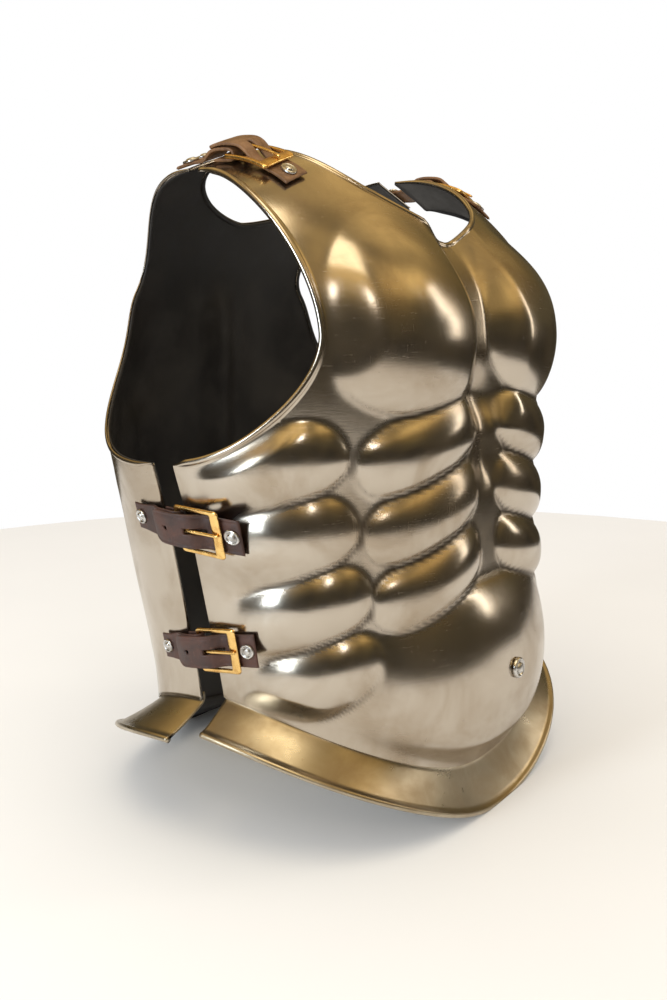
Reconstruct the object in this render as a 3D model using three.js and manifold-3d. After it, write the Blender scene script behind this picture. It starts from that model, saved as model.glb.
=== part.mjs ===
// Steel muscle cuirass: an embossed breastplate and backplate with flared lower flanges,
// joined at the sides and over the shoulders by leather straps with brass buckles.
// Millimetres, +Z up. The chest faces -Y, the wearer's left side is +X, the rims rest on z = 0.
import * as THREE from "three";
import { mergeVertices } from "three/addons/utils/BufferGeometryUtils.js";
import ManifoldModule from "manifold-3d";

const wasm = await ManifoldModule();
wasm.setup();
const { Manifold, Mesh: ManifoldMesh } = wasm;

// ---------------------------------------------------------------- driving dimensions

const DEG = Math.PI / 180;
const SHEET = 1.4;            // steel sheet
const GAP = 0.3;              // air between neighbouring pieces
const SECTION_POWER = 2.4;    // superellipse power of every level section
const SEAM_Y = 10.9;          // y of the side seam plane at SEAM_LEVEL
const SEAM_LEVEL = 280;
const LEAN = 0.055;           // the seam plane leans back by this much for each mm of height
const BEAD_RADIUS = 2.3;      // rolled rim round the arms, the neck and the flanges
const RIM_STEPS = 3;          // points round a rim between the outer and inner faces
const GRAIN = 1 / 256;        // every vertex sits on a grid this fine, so that neighbours match exactly

// Level sections of the body: half the width, and how far chest and back stand from the seam plane.
const SECTIONS = table(
  ["height", "half_width", "chest", "back"],
  [
    [32, 171, 132, 133],
    [95, 168, 143, 134],
    [165, 177, 139, 138],
    [235, 188, 137.5, 141],
    [300, 202, 141.5, 136],
    [355, 205, 147, 129.5],
    [405, 204.5, 134, 121.5],
    [445, 187, 104.5, 97],
    [475, 128.5, 77.5, 63],
    [495, 71.5, 51, 36],
    [508, 46, 24.5, 16],
  ],
);
const halfWidth = naturalSpline(SECTIONS, "half_width");

// The two plates. Distances named reach, edge and shoulder are measured from the seam plane.
// split is where the armhole stops bounding the waist's columns and starts bounding the chest's rows.
const BREAST = {
  facing: -1,
  depth: naturalSpline(SECTIONS, "chest"),
  edge: { low: 15, high: 11 },
  armhole: { bottom: 271.5, middle: 357, reach: 111, shoulder: 6, outer_x: 146, power: 1.85, lower_power: 1.85 },
  neck: { bottom: 426, half_width: 97, widening: 1.334, dip: 1.98 },
  seam: { centre: 32.5, side: 104, power: 2.35 },
  flange: { centre_out: 17, centre_down: 32.5, side_out: 26, side_down: 17.5 },
  columns: { side: 5, chest: 12 },
  rows: { waist: 15, chest: 8, neck: 7 },
  split: { sweep: 50, height: 306 },
};
const BACK = {
  facing: 1,
  depth: naturalSpline(SECTIONS, "back"),
  edge: { low: 8, high: 8 },
  armhole: { bottom: 272, middle: 392, reach: 114, shoulder: 9, outer_x: 142, power: 1.92, lower_power: 3.2 },
  neck: { bottom: 451, half_width: 92, widening: 1.4, dip: 1.6 },
  seam: { centre: 20.5, side: 96, power: 2.35 },
  flange: { centre_out: 31, centre_down: 20.5, side_out: 34, side_down: 17.5 },
  columns: { side: 4, chest: 9 },
  rows: { waist: 9, chest: 6, neck: 5 },
  split: { sweep: 55, height: 306 },
};

// Embossed muscles of one half, mirrored on the other. turn is degrees round from the plate's
// centre, height is mm; medial, lateral, up and down are how far each reaches from there in mm;
// tilt lowers the outer end; edge, top_edge and side_edge are how softly its sides run out.
const ROUND = 155;            // mm for each radian of turn
const VALLEY = 1.6;           // rounding of the creases between muscles
const CHEST_MUSCLES = table(
  ["turn", "height", "medial", "lateral", "up", "down", "tilt", "rise", "edge", "top_edge", "side_edge"],
  [
    [33, 356, 58, 66, 96, 55, 0, 15, 0.55, 2.2, 1.0],
    [29, 277, 66, 62, 30, 25, 17, 12, 0.6, 0.7, 0.6],
    [28, 230, 66, 61, 29, 25, 17, 12, 0.6, 0.7, 0.6],
    [27, 184, 64, 60, 29, 25, 17, 12, 0.6, 0.7, 0.6],
    [63, 273, 38, 62, 30, 25, 22, 9, 0.6, 0.8, 1.8],
    [62, 223, 40, 66, 30, 26, 24, 9, 0.6, 0.8, 1.8],
    [60, 174, 43, 72, 29, 25, 25, 9, 0.6, 0.8, 1.8],
    [58, 126, 44, 76, 29, 26, 25, 9, 0.6, 0.8, 1.8],
    [0, 104, 112, 112, 74, 84, 0, 15, 0.6, 0.6, 0.6],
  ],
);
const BACK_MUSCLES = table(
  ["turn", "height", "medial", "lateral", "up", "down", "tilt", "rise", "edge", "top_edge", "side_edge"],
  [
    [38, 352, 72, 74, 84, 70, 0, 9, 1.2, 2.0, 1.6],
    [32, 200, 66, 90, 96, 120, 0, 6, 1.2, 1.6, 1.8],
  ],
);
const FURROWS = {
  breast: { depth: 8, width: 15, low: 292, high: 412, fade: 26 },
  back: { depth: 8, width: 15, low: 110, high: 415, fade: 40 },
};
BREAST.muscles = CHEST_MUSCLES;
BREAST.furrow = FURROWS.breast;
BACK.muscles = BACK_MUSCLES;
BACK.furrow = FURROWS.back;

// Leather straps. The chape is fixed to the backplate and holds the buckle; the billet is fixed
// to the breastplate. "along" is measured from the seam plane towards the back.
const LEATHER = 2.2;
const STRAP = { billet_width: 24, chape_width: 25, chape_end_width: 19, clearance: 1.5 };
const BUCKLE = { across: 33, length: 30, side_bar: 3.4, front_bar: 7, heel_bar: 3.2, depth: 3 };
const PRONG = { width: 2.8, thickness: 2.2 };
const RIVET = { radius: 5.2, height: 2.4, sides: 7 };
const NAVEL = { height: 106, radius: 8, rise: 4.2, sides: 16 };
const SIDE_STRAPS = table(
  ["name", "height", "slope", "heel"],
  [
    ["upper", 230, 0.06, -10],
    ["lower", 139, -0.16, -7],
  ],
);
const SHOULDER_STRAP = { x: 126, heel: -26 };

const MATERIALS = {
  steel: { color: 0xb9b2a6, roughness: 0.22, metalness: 1.0 },
  flange: { color: 0xa39a8a, roughness: 0.34, metalness: 1.0 },
  leather: { color: 0x4a2a20, roughness: 0.62, metalness: 0.0 },
  tan: { color: 0x7a4c2a, roughness: 0.6, metalness: 0.0 },
  brass: { color: 0xd9a24a, roughness: 0.28, metalness: 1.0 },
  nickel: { color: 0xc9c9cc, roughness: 0.3, metalness: 1.0 },
};

// ---------------------------------------------------------------- small helpers

function table(columns, rows) {
  return rows.map((row) => Object.fromEntries(columns.map((name, i) => [name, row[i]])));
}

function mix(a, b, t) {
  return a + (b - a) * t;
}

function smoothstep(low, high, value) {
  const t = Math.min(1, Math.max(0, (value - low) / (high - low)));
  return t * t * (3 - 2 * t);
}

// Natural cubic spline through one column of the sections.
function naturalSpline(rows, column) {
  const n = rows.length;
  const x = rows.map((row) => row.height);
  const y = rows.map((row) => row[column]);
  const slope = new Array(n).fill(0);
  const bend = new Array(n).fill(0);
  for (let i = 1; i < n - 1; i++) {
    const share = (x[i] - x[i - 1]) / (x[i + 1] - x[i - 1]);
    const pivot = share * bend[i - 1] + 2;
    const change = (y[i + 1] - y[i]) / (x[i + 1] - x[i]) - (y[i] - y[i - 1]) / (x[i] - x[i - 1]);
    bend[i] = (share - 1) / pivot;
    slope[i] = ((6 * change) / (x[i + 1] - x[i - 1]) - share * slope[i - 1]) / pivot;
  }
  for (let i = n - 2; i >= 0; i--) bend[i] = bend[i] * bend[i + 1] + slope[i];
  bend[0] = 0;
  return (at) => {
    let i = 0;
    while (i < n - 2 && at > x[i + 1]) i++;
    const h = x[i + 1] - x[i];
    const a = (x[i + 1] - at) / h;
    const b = (at - x[i]) / h;
    return a * y[i] + b * y[i + 1] + (((a ** 3 - a) * bend[i] + (b ** 3 - b) * bend[i + 1]) * h * h) / 6;
  };
}

function seamPlane(height) {
  return SEAM_Y + LEAN * (height - SEAM_LEVEL);
}

function bisect(inside, low, high) {
  for (let i = 0; i < 50; i++) {
    const middle = (low + high) / 2;
    if (inside(middle)) low = middle;
    else high = middle;
  }
  return (low + high) / 2;
}

// ---------------------------------------------------------------- the body's surface

// Point of the plain surface at a turn round from the plate's centre and a height.
function basePoint(plate, turn, height) {
  const s = Math.abs(Math.sin(turn)) / halfWidth(height);
  const c = Math.abs(Math.cos(turn)) / plate.depth(height);
  const r = (s ** SECTION_POWER + c ** SECTION_POWER) ** (-1 / SECTION_POWER);
  const y = seamPlane(height) + plate.facing * r * Math.cos(turn);
  return new THREE.Vector3(r * Math.sin(turn), y, height);
}

function pillow(muscle, turn, height) {
  const across = ROUND * (Math.abs(turn) - muscle.turn * DEG);
  const above = height - muscle.height;
  const tilt = muscle.tilt * DEG;
  const along = across * Math.cos(tilt) - above * Math.sin(tilt);
  const over = across * Math.sin(tilt) + above * Math.cos(tilt);
  const a = along / (along < 0 ? muscle.medial : muscle.lateral);
  const b = over / (over < 0 ? muscle.down : muscle.up);
  const reach = (Math.abs(a) ** 2.5 + Math.abs(b) ** 2.5) ** 0.4;
  if (reach >= 1) return -20 * (reach - 1);
  const upward = smoothstep(0.1, 0.9, b / Math.max(reach, 1e-6));
  const outward = smoothstep(0.2, 0.95, a / Math.max(reach, 1e-6));
  const softness = mix(mix(muscle.edge, muscle.top_edge, upward), muscle.side_edge, outward);
  return muscle.rise * (1 - reach * reach) ** softness;
}

function smoothMax(a, b) {
  const near = Math.max(VALLEY - Math.abs(a - b), 0);
  return Math.max(a, b) + (near * near) / (4 * VALLEY);
}

// How far outside the armhole's outline a point is: 1 on the outline.
function armholeRatio(plate, point) {
  const { armhole } = plate;
  const distance = Math.abs(point.y - seamPlane(point.z));
  const upper = point.z > armhole.middle;
  const halfHeight = upper ? shoulderHeight(plate) - armhole.middle : armhole.middle - armhole.bottom;
  const power = upper ? armhole.power : armhole.lower_power;
  const level = Math.abs(point.z - armhole.middle) / halfHeight;
  return ((distance / armhole.reach) ** power + level ** power) ** (1 / power);
}

function seamHeight(plate, turn) {
  const { seam } = plate;
  return mix(seam.centre, seam.side, Math.abs(Math.sin(turn)) ** seam.power);
}

// Height of the embossing: muscles and furrow, run out before the rims.
function relief(plate, turn, height) {
  let rise = 0;
  for (const muscle of plate.muscles) rise = smoothMax(rise, pillow(muscle, turn, height));
  const { furrow } = plate;
  const across = (ROUND * turn) / furrow.width;
  const upto = smoothstep(furrow.low - furrow.fade, furrow.low, height);
  const down = 1 - smoothstep(furrow.high - furrow.fade, furrow.high, height);
  rise -= furrow.depth * Math.exp(-across * across) * upto * down;
  const aboveSeam = smoothstep(0, 26, height - seamHeight(plate, turn));
  const besideArm = smoothstep(1.0, 1.16, armholeRatio(plate, basePoint(plate, turn, height)));
  return rise * aboveSeam * besideArm;
}

function normalOf(surface, turn, height) {
  const dt = 0.004;
  const dz = 0.6;
  const round = surface(turn + dt, height).sub(surface(turn - dt, height));
  const up = surface(turn, height + dz).sub(surface(turn, height - dz));
  return round.cross(up).normalize();
}

function outwardNormal(plate, surface, turn, height) {
  return normalOf(surface, turn, height).multiplyScalar(-plate.facing);
}

function embossedPoint(plate, turn, height) {
  const base = (t, h) => basePoint(plate, t, h);
  const normal = outwardNormal(plate, base, turn, height);
  return base(turn, height).addScaledVector(normal, relief(plate, turn, height));
}

function embossedNormal(plate, turn, height) {
  return outwardNormal(plate, (t, h) => embossedPoint(plate, t, h), turn, height);
}

function platePoint(plate, turn, height, lift) {
  return embossedPoint(plate, turn, height).addScaledVector(embossedNormal(plate, turn, height), lift);
}

// ---------------------------------------------------------------- outlines of a half plate

function insideSection(plate, x, distance, height) {
  const s = Math.abs(x) / halfWidth(height);
  const c = Math.abs(distance) / plate.depth(height);
  return s ** SECTION_POWER + c ** SECTION_POWER < 1;
}

function surfaceHeight(plate, x, distance) {
  return bisect((height) => insideSection(plate, x, distance, height), 400, 508);
}

function turnAtDistance(plate, distance, height) {
  const share = Math.min(1, distance / plate.depth(height));
  const x = halfWidth(height) * (1 - share ** SECTION_POWER) ** (1 / SECTION_POWER);
  return Math.atan2(x, distance);
}

function turnAtX(plate, x, height) {
  const share = Math.min(1, x / halfWidth(height));
  const distance = plate.depth(height) * (1 - share ** SECTION_POWER) ** (1 / SECTION_POWER);
  return Math.atan2(x, distance);
}

function shoulderHeight(plate) {
  plate.shoulder_height ??= surfaceHeight(plate, plate.armhole.outer_x, plate.armhole.shoulder);
  return plate.shoulder_height;
}

// Equal steps along a curve given as a function of a parameter.
function evenly(plate, curve, from, to, steps) {
  const fine = 200;
  const walk = [0];
  const at = (k) => curve(mix(from, to, k / fine));
  const place = ({ turn, height }) => basePoint(plate, turn, height);
  for (let k = 1; k <= fine; k++) walk.push(walk[k - 1] + place(at(k)).distanceTo(place(at(k - 1))));
  const points = [];
  for (let n = 0, k = 0; n <= steps; n++) {
    const goal = (walk[fine] * n) / steps;
    while (k < fine - 1 && walk[k + 1] < goal) k++;
    const share = (goal - walk[k]) / (walk[k + 1] - walk[k]);
    points.push(curve(mix(from, to, (k + share) / fine)));
  }
  return points;
}

// Side edge, from the flange (0) up to the armhole (1).
function sideEdge(plate, t) {
  const height = mix(plate.seam.side, plate.armhole.bottom, t);
  return { turn: turnAtDistance(plate, mix(plate.edge.low, plate.edge.high, t), height), height };
}

// Armhole, from the side edge (sweep 0) round the front to the shoulder (sweep 180 degrees).
function armholeEdge(plate, degrees) {
  const { armhole, edge } = plate;
  const upper = degrees > 90;
  const power = upper ? armhole.power : armhole.lower_power;
  const end = upper ? armhole.shoulder : edge.high;
  const distance = mix(end, armhole.reach, Math.abs(Math.sin(degrees * DEG)) ** (2 / power));
  const rise = Math.abs(Math.cos(degrees * DEG)) ** (2 / power);
  const span = upper ? shoulderHeight(plate) - armhole.middle : armhole.bottom - armhole.middle;
  const height = armhole.middle + span * rise;
  return { turn: turnAtDistance(plate, distance, height), height };
}

// Half of the neck opening, from the centre line (0) to the shoulder (1).
function neckEdge(plate, t) {
  const { neck } = plate;
  const sweep = (t * Math.PI) / 2;
  const top = surfaceHeight(plate, neck.half_width, plate.armhole.shoulder);
  const x = neck.half_width * Math.sin(sweep) ** (2 / neck.widening);
  const height = top - (top - neck.bottom) * Math.abs(Math.cos(sweep)) ** (2 / neck.dip);
  return { turn: turnAtX(plate, x, height), height };
}

function straight(from, to, steps) {
  return Array.from({ length: steps + 1 }, (_, k) => ({
    turn: mix(from.turn, to.turn, k / steps),
    height: mix(from.height, to.height, k / steps),
  }));
}

// Grid of turns and heights filled in between four edges (a Coons patch): left and right run
// upward, bottom and top run from left to right.
function fillPatch(left, right, bottom, top) {
  const rows = left.length - 1;
  const columns = bottom.length - 1;
  return left.map((_, j) =>
    bottom.map((_, i) => {
      const [u, v] = [i / columns, j / rows];
      const cell = {};
      for (const key of ["turn", "height"]) {
        const low = mix(bottom[0][key], bottom[columns][key], u);
        const high = mix(top[0][key], top[columns][key], u);
        const across = mix(left[j][key], right[j][key], u);
        cell[key] = across + mix(bottom[i][key], top[i][key], v) - mix(low, high, v);
      }
      return cell;
    }),
  );
}

// Two grids cover a half plate: the waist up to the armhole, and the chest from there to the shoulder.
function halfGrids(plate) {
  const { columns, rows, split, seam } = plate;
  const side = evenly(plate, (t) => sideEdge(plate, t), 0, 1, rows.waist);
  const arm = (from, to, steps) => evenly(plate, (d) => armholeEdge(plate, d), from, to, steps);
  const armLow = arm(0, split.sweep, columns.side);
  const armHigh = arm(split.sweep, 180, rows.chest + rows.neck);
  const belt = straight(armLow.at(-1), { turn: 0, height: split.height }, columns.chest);
  const corner = side[0].turn;
  const hem = Array.from({ length: columns.side + columns.chest + 1 }, (_, i) => {
    const turn = corner * (1 - i / (columns.side + columns.chest));
    return { turn, height: seamHeight(plate, turn) };
  });
  hem[0] = side[0];
  const centreLow = straight(hem.at(-1), belt.at(-1), rows.waist);
  const centreHigh = straight(belt.at(-1), { turn: 0, height: plate.neck.bottom }, rows.chest);
  const neck = evenly(plate, (t) => neckEdge(plate, t), 0, 1, rows.neck);
  const inner = [...centreHigh, ...neck.slice(1)];
  const waist = fillPatch(side, centreLow, hem, [...armLow, ...belt.slice(1)]);
  const chest = fillPatch(armHigh, inner, belt, straight(armHigh.at(-1), inner.at(-1), columns.chest));
  return { waist, chest };
}

// ---------------------------------------------------------------- solids from triangles

function pushQuad(list, a, b, c, d) {
  list.push(a, b, d, b, c, d);
}

function signedVolume(geometry) {
  const p = geometry.getAttribute("position");
  const index = geometry.getIndex();
  const a = new THREE.Vector3();
  const b = new THREE.Vector3();
  const c = new THREE.Vector3();
  let sum = 0;
  for (let i = 0; i < index.count; i += 3) {
    a.fromBufferAttribute(p, index.getX(i));
    b.fromBufferAttribute(p, index.getX(i + 1));
    c.fromBufferAttribute(p, index.getX(i + 2));
    sum += a.dot(b.cross(c));
  }
  return sum / 6;
}

// Settle a closed shell's vertices on the grid, weld it and turn it right side out.
function weld(source) {
  const bare = new THREE.BufferGeometry();
  const settledValues = Float32Array.from(source.getAttribute("position").array, (v) => Math.round(v / GRAIN) * GRAIN);
  bare.setAttribute("position", new THREE.BufferAttribute(settledValues, 3));
  bare.setIndex(source.getIndex());
  const geometry = mergeVertices(bare, 1e-4);
  if (signedVolume(geometry) < 0) {
    const index = geometry.getIndex();
    for (let i = 0; i < index.count; i += 3) {
      const second = index.getX(i + 1);
      index.setX(i + 1, index.getX(i + 2));
      index.setX(i + 2, second);
    }
  }
  geometry.computeVertexNormals();
  return geometry;
}

function solidOf(corners) {
  const geometry = new THREE.BufferGeometry();
  geometry.setAttribute("position", new THREE.Float32BufferAttribute(corners.flatMap((p) => p.toArray()), 3));
  geometry.setIndex([...corners.keys()]);
  return weld(geometry);
}

function toManifold(geometry) {
  const welded = weld(geometry);
  const vertProperties = new Float32Array(welded.getAttribute("position").array);
  const triVerts = new Uint32Array(welded.getIndex().array);
  return new Manifold(new ManifoldMesh({ numProp: 3, vertProperties, triVerts }));
}

function cut(geometry, tool) {
  const mesh = toManifold(geometry).subtract(toManifold(tool)).getMesh();
  const result = new THREE.BufferGeometry();
  result.setAttribute("position", new THREE.BufferAttribute(new Float32Array(mesh.vertProperties), 3));
  result.setIndex(new THREE.BufferAttribute(new Uint32Array(mesh.triVerts), 1));
  return weld(result);
}

// Points round a sheet's rim from its outer face to its inner face. outward leaves the sheet in
// its own plane; bead 0 is a plain rounded edge and 1 a full rolled bead.
function rimPoints(outer, inner, outward, bead) {
  const middle = outer.clone().add(inner).multiplyScalar(0.5);
  const normal = outer.clone().sub(inner).normalize();
  const half = outer.distanceTo(inner) / 2;
  const start = Math.asin(half / BEAD_RADIUS);
  const points = [outer];
  for (let k = 1; k <= RIM_STEPS; k++) {
    const t = k / (RIM_STEPS + 1);
    const plain = Math.PI * (0.5 - t);
    const rolled = mix(Math.PI - start, start - Math.PI, t);
    const out = mix(half * Math.cos(plain), BEAD_RADIUS * (Math.cos(rolled) + Math.cos(start)), bead);
    const up = mix(half * Math.sin(plain), BEAD_RADIUS * Math.sin(rolled), bead);
    points.push(middle.clone().addScaledVector(outward, out).addScaledVector(normal, up));
  }
  points.push(inner);
  return points;
}

// ---------------------------------------------------------------- the plates

function plateShell(plate) {
  const grids = halfGrids(plate);
  const vertex = ({ turn, height }, side) => {
    const normal = embossedNormal(plate, side * turn, height);
    const outer = embossedPoint(plate, side * turn, height);
    return { outer, inner: outer.clone().addScaledVector(normal, -SHEET), normal };
  };
  const half = (side) => {
    const build = (grid) => grid.map((line) => line.map((cell) => vertex(cell, side)));
    return { waist: build(grids.waist), chest: build(grids.chest) };
  };
  const [right, left] = [half(1), half(-1)];
  const triangles = [];
  for (const grid of [right.waist, right.chest]) coverBothFaces(triangles, grid, false);
  for (const grid of [left.waist, left.chest]) coverBothFaces(triangles, grid, true);
  const rightEdge = halfEdge(right, plate);
  const leftEdge = halfEdge(left, plate).slice(1, -1).toReversed();
  const loop = [...rightEdge, ...leftEdge];
  const rims = loop.map((here, k) => {
    const before = loop[(k + loop.length - 1) % loop.length].outer;
    const after = loop[(k + 1) % loop.length].outer;
    const outward = after.clone().sub(before).cross(here.normal).normalize();
    return rimPoints(here.outer, here.inner, outward, here.bead);
  });
  rims.forEach((rim, k) => {
    const next = rims[(k + 1) % rims.length];
    for (let n = 0; n < rim.length - 1; n++) pushQuad(triangles, rim[n], next[n], next[n + 1], rim[n + 1]);
  });
  return solidOf(triangles);
}

function coverBothFaces(triangles, grid, mirrored) {
  for (let j = 0; j < grid.length - 1; j++) {
    for (let i = 0; i < grid[j].length - 1; i++) {
      const cell = [grid[j][i], grid[j][i + 1], grid[j + 1][i + 1], grid[j + 1][i]];
      const turned = mirrored ? cell.toReversed() : cell;
      pushQuad(triangles, ...turned.map((p) => p.outer));
      pushQuad(triangles, ...turned.toReversed().map((p) => p.inner));
    }
  }
}

// A half plate's edge in order from the bottom centre round to the bottom of the neck, with how
// far each vertex is rolled into a bead: full round the arm and neck, easing at the shoulder.
function halfEdge({ waist, chest }, plate) {
  const top = chest.length - 1;
  const ease = (j) => 1 - 0.6 * smoothstep(top - 1, top, j);
  const bead = (vertex, amount) => ({ ...vertex, bead: amount });
  const hem = waist[0].toReversed().map((vertex) => bead(vertex, 0));
  const side = waist.slice(1).map((line) => bead(line[0], 0));
  const armLow = waist.at(-1).slice(1, plate.columns.side + 1).map((vertex) => bead(vertex, 1));
  const armHigh = chest.slice(1).map((line, j) => bead(line[0], ease(j + 1)));
  const shoulder = chest[top].slice(1, -1).map((vertex) => bead(vertex, 0.4));
  const neck = chest.slice(plate.rows.chest).map((line, j) => bead(line.at(-1), ease(j + plate.rows.chest)));
  return [...hem, ...side, ...armLow, ...armHigh, ...shoulder, ...neck.toReversed()];
}

// Flared strip below a plate: a lip behind the plate's lower edge, the strip and its rolled rim.
function flangeShell(plate) {
  const { flange } = plate;
  const columns = plate.columns.side + plate.columns.chest;
  const side = sideEdge(plate, 0).turn;
  const behind = -(SHEET + 3 * GAP);
  const lip = 7;
  const profiles = [];
  for (let i = -columns; i <= columns; i++) {
    const turn = (side * i) / columns;
    const height = seamHeight(plate, turn) - 1;
    const share = Math.sin(turn) ** 2;
    const out = mix(flange.centre_out, flange.side_out, share);
    const down = mix(flange.centre_down, flange.side_down, share) - 1 - BEAD_RADIUS * 0.3;
    const level = outwardNormal(plate, (t, h) => basePoint(plate, t, h), turn, height).setZ(0).normalize();
    const along = level.clone().multiplyScalar(out).setZ(-down).normalize();
    const above = level.clone().multiplyScalar(down).setZ(out).normalize();
    const bend = platePoint(plate, turn, height, behind);
    const top = platePoint(plate, turn, height + lip, behind);
    const strip = Math.hypot(out, down);
    const edge = bend.clone().addScaledVector(along, strip);
    const thin = (point, normal) => point.clone().addScaledVector(normal, -SHEET);
    const rim = rimPoints(edge, thin(edge, above), along, 1);
    profiles.push([top, bend, ...rim, thin(bend, level), thin(top, level)].map(settled));
  }
  const triangles = [];
  for (let s = 0; s < profiles.length - 1; s++) {
    for (let k = 0; k < profiles[s].length; k++) {
      const n = (k + 1) % profiles[s].length;
      pushQuad(triangles, profiles[s][k], profiles[s][n], profiles[s + 1][n], profiles[s + 1][k]);
    }
  }
  capProfile(triangles, profiles[0], false);
  capProfile(triangles, profiles.at(-1), true);
  return solidOf(triangles);
}

// The rim is planed flat where it rests.
function settled(point) {
  return point.setZ(Math.max(0, point.z));
}

function capProfile(list, profile, last) {
  for (let low = 0, high = profile.length - 1; high - low > 1; low++, high--) {
    const ring = profile.slice(low, low + 2).concat(profile.slice(Math.max(high - 1, low + 2), high + 1));
    const turned = last ? ring : ring.toReversed();
    if (turned.length === 3) list.push(...turned);
    else pushQuad(list, ...turned);
  }
}

// ---------------------------------------------------------------- straps and buckles

// Straps are drawn flat as (along, across, lift) and bent over the body: each place turns such a
// point into one standing off the surface by its lift.
function sidePlace(side, strap) {
  return (along, across, lift) => {
    const height = strap.height + across + strap.slope * along;
    const plate = along < 0 ? BREAST : BACK;
    const distance = Math.abs(along);
    const turn = distance < 1e-6 ? Math.PI / 2 : turnAtDistance(plate, distance, height);
    const base = (t, h) => basePoint(plate, t, h);
    const normal = outwardNormal(plate, base, turn, height).setZ(0).normalize();
    const middle = strap.height + strap.slope * along;
    const half = STRAP.billet_width / 2;
    const swell = Math.max(...[-half, 0, half].map((offset) => relief(plate, turn, middle + offset)));
    const point = base(turn, height).addScaledVector(normal, lift + swell);
    return point.setX(side * point.x);
  };
}

function shoulderPlace(side) {
  const heightAt = (px, distance) => surfaceHeight(distance < 0 ? BREAST : BACK, px, Math.abs(distance));
  return (along, across, lift) => {
    const plate = along < 0 ? BREAST : BACK;
    const fall = heightAt(SHOULDER_STRAP.x - 1, along) - heightAt(SHOULDER_STRAP.x, along);
    const x = SHOULDER_STRAP.x + across / Math.hypot(1, fall);
    const height = heightAt(x, along);
    const slopeX = (heightAt(x + 1, along) - heightAt(x - 1, along)) / 2;
    const slopeY = (heightAt(x, along + 1) - heightAt(x, along - 1)) / 2;
    const normal = new THREE.Vector3(-slopeX, -slopeY, 1).normalize();
    const point = new THREE.Vector3(x, seamPlane(height) + plate.facing * Math.abs(along), height);
    point.addScaledVector(normal, lift);
    return point.setX(side * point.x);
  };
}

function bend(geometry, place) {
  const p = geometry.getAttribute("position");
  for (let i = 0; i < p.count; i++) p.setXYZ(i, ...place(p.getX(i), p.getY(i), p.getZ(i)).toArray());
  return weld(geometry);
}

// A line of [along, lift] points thickened to both sides and given a width across the strap.
function ribbon(line, thickness, width) {
  const points = line.map(([x, y]) => new THREE.Vector2(x, y));
  const offsets = points.map((point, i) => {
    const before = points[Math.max(0, i - 1)];
    const after = points[Math.min(points.length - 1, i + 1)];
    const direction = after.clone().sub(before).normalize();
    return new THREE.Vector2(-direction.y, direction.x).multiplyScalar(thickness / 2);
  });
  const upper = points.map((point, i) => point.clone().add(offsets[i]));
  const lower = points.map((point, i) => point.clone().sub(offsets[i]));
  const shape = new THREE.Shape([...upper, ...lower.toReversed()]);
  const geometry = new THREE.ExtrudeGeometry(shape, { depth: width, bevelEnabled: false });
  geometry.rotateX(Math.PI / 2);
  return geometry.translate(0, width / 2, 0);
}

function arc(x, y, radius, from, to, steps) {
  const points = [];
  for (let k = 0; k <= steps; k++) {
    const angle = mix(from, to, k / steps) * DEG;
    points.push([x + radius * Math.cos(angle), y + radius * Math.sin(angle)]);
  }
  return points;
}

const BAR_LIFT = STRAP.clearance + LEATHER + GAP + BUCKLE.depth / 2 + 0.4;
const BAR_HALF = Math.hypot(BUCKLE.heel_bar, BUCKLE.depth) / 2;
const LOOP_RADIUS = BAR_HALF + GAP + LEATHER / 2;

// Back strap: riveted to the backplate, folded round the buckle's heel bar and back underneath.
function chape(heel, end) {
  const flat = STRAP.clearance + LEATHER / 2;
  const line = [
    [end, flat],
    [end - 8, flat],
    [heel + 25, flat + 0.6],
    [heel + 17, BAR_LIFT + LOOP_RADIUS - 1.6],
    [heel + 9, BAR_LIFT + LOOP_RADIUS],
    ...arc(heel, BAR_LIFT, LOOP_RADIUS, 90, 270, 5),
    [heel + 8, BAR_LIFT - LOOP_RADIUS],
    [heel + 14, BAR_LIFT - LOOP_RADIUS],
  ];
  const geometry = ribbon(line, LEATHER, STRAP.chape_width);
  const p = geometry.getAttribute("position");
  for (let i = 0; i < p.count; i++) {
    const taper = smoothstep(heel + 14, end - 6, p.getX(i));
    p.setY(i, p.getY(i) * mix(1, STRAP.chape_end_width / STRAP.chape_width, taper));
  }
  const slot = new THREE.BoxGeometry(14, PRONG.width + 2 * GAP, 30);
  return cut(geometry, slot.translate(heel - 2, 0, BAR_LIFT));
}

// Front strap: riveted to the breastplate, up through the frame and over the heel bar.
function billet(heel, front, tail) {
  const bar = heel - BUCKLE.length;
  const over = BAR_LIFT + LOOP_RADIUS + LEATHER + GAP + 1;
  const flat = STRAP.clearance + LEATHER / 2;
  const line = [
    [front, flat],
    [mix(front, bar, 0.5), flat],
    [bar + 4, flat],
    [bar + 11, flat + 1.6],
    [heel - 13.5, mix(flat, over, 0.64)],
    [heel - 8, over - 0.6],
    [heel - 1, over],
    [heel + 10, over - 0.6],
    [tail, over - 3],
  ];
  const geometry = ribbon(line, LEATHER, STRAP.billet_width);
  const hole = new THREE.BoxGeometry(13.5, PRONG.width + 5 * GAP, 30);
  return cut(geometry, hole.translate(heel - 14.6, 0, BAR_LIFT + 6));
}

function buckleFrame(heel) {
  const { across, length, side_bar: sideBar, front_bar: frontBar, heel_bar: heelBar, depth } = BUCKLE;
  const front = heel - length;
  const outline = roundedRectangle(front - frontBar / 2, heel + heelBar / 2, across / 2, 2.2);
  const window = new THREE.Path([
    new THREE.Vector2(front + frontBar / 2, sideBar - across / 2),
    new THREE.Vector2(front + frontBar / 2, across / 2 - sideBar),
    new THREE.Vector2(heel - heelBar / 2, across / 2 - sideBar),
    new THREE.Vector2(heel - heelBar / 2, sideBar - across / 2),
  ]);
  outline.holes.push(window);
  const geometry = new THREE.ExtrudeGeometry(outline, { depth, bevelEnabled: false, curveSegments: 2 });
  return geometry.translate(0, 0, BAR_LIFT - depth / 2);
}

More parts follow.
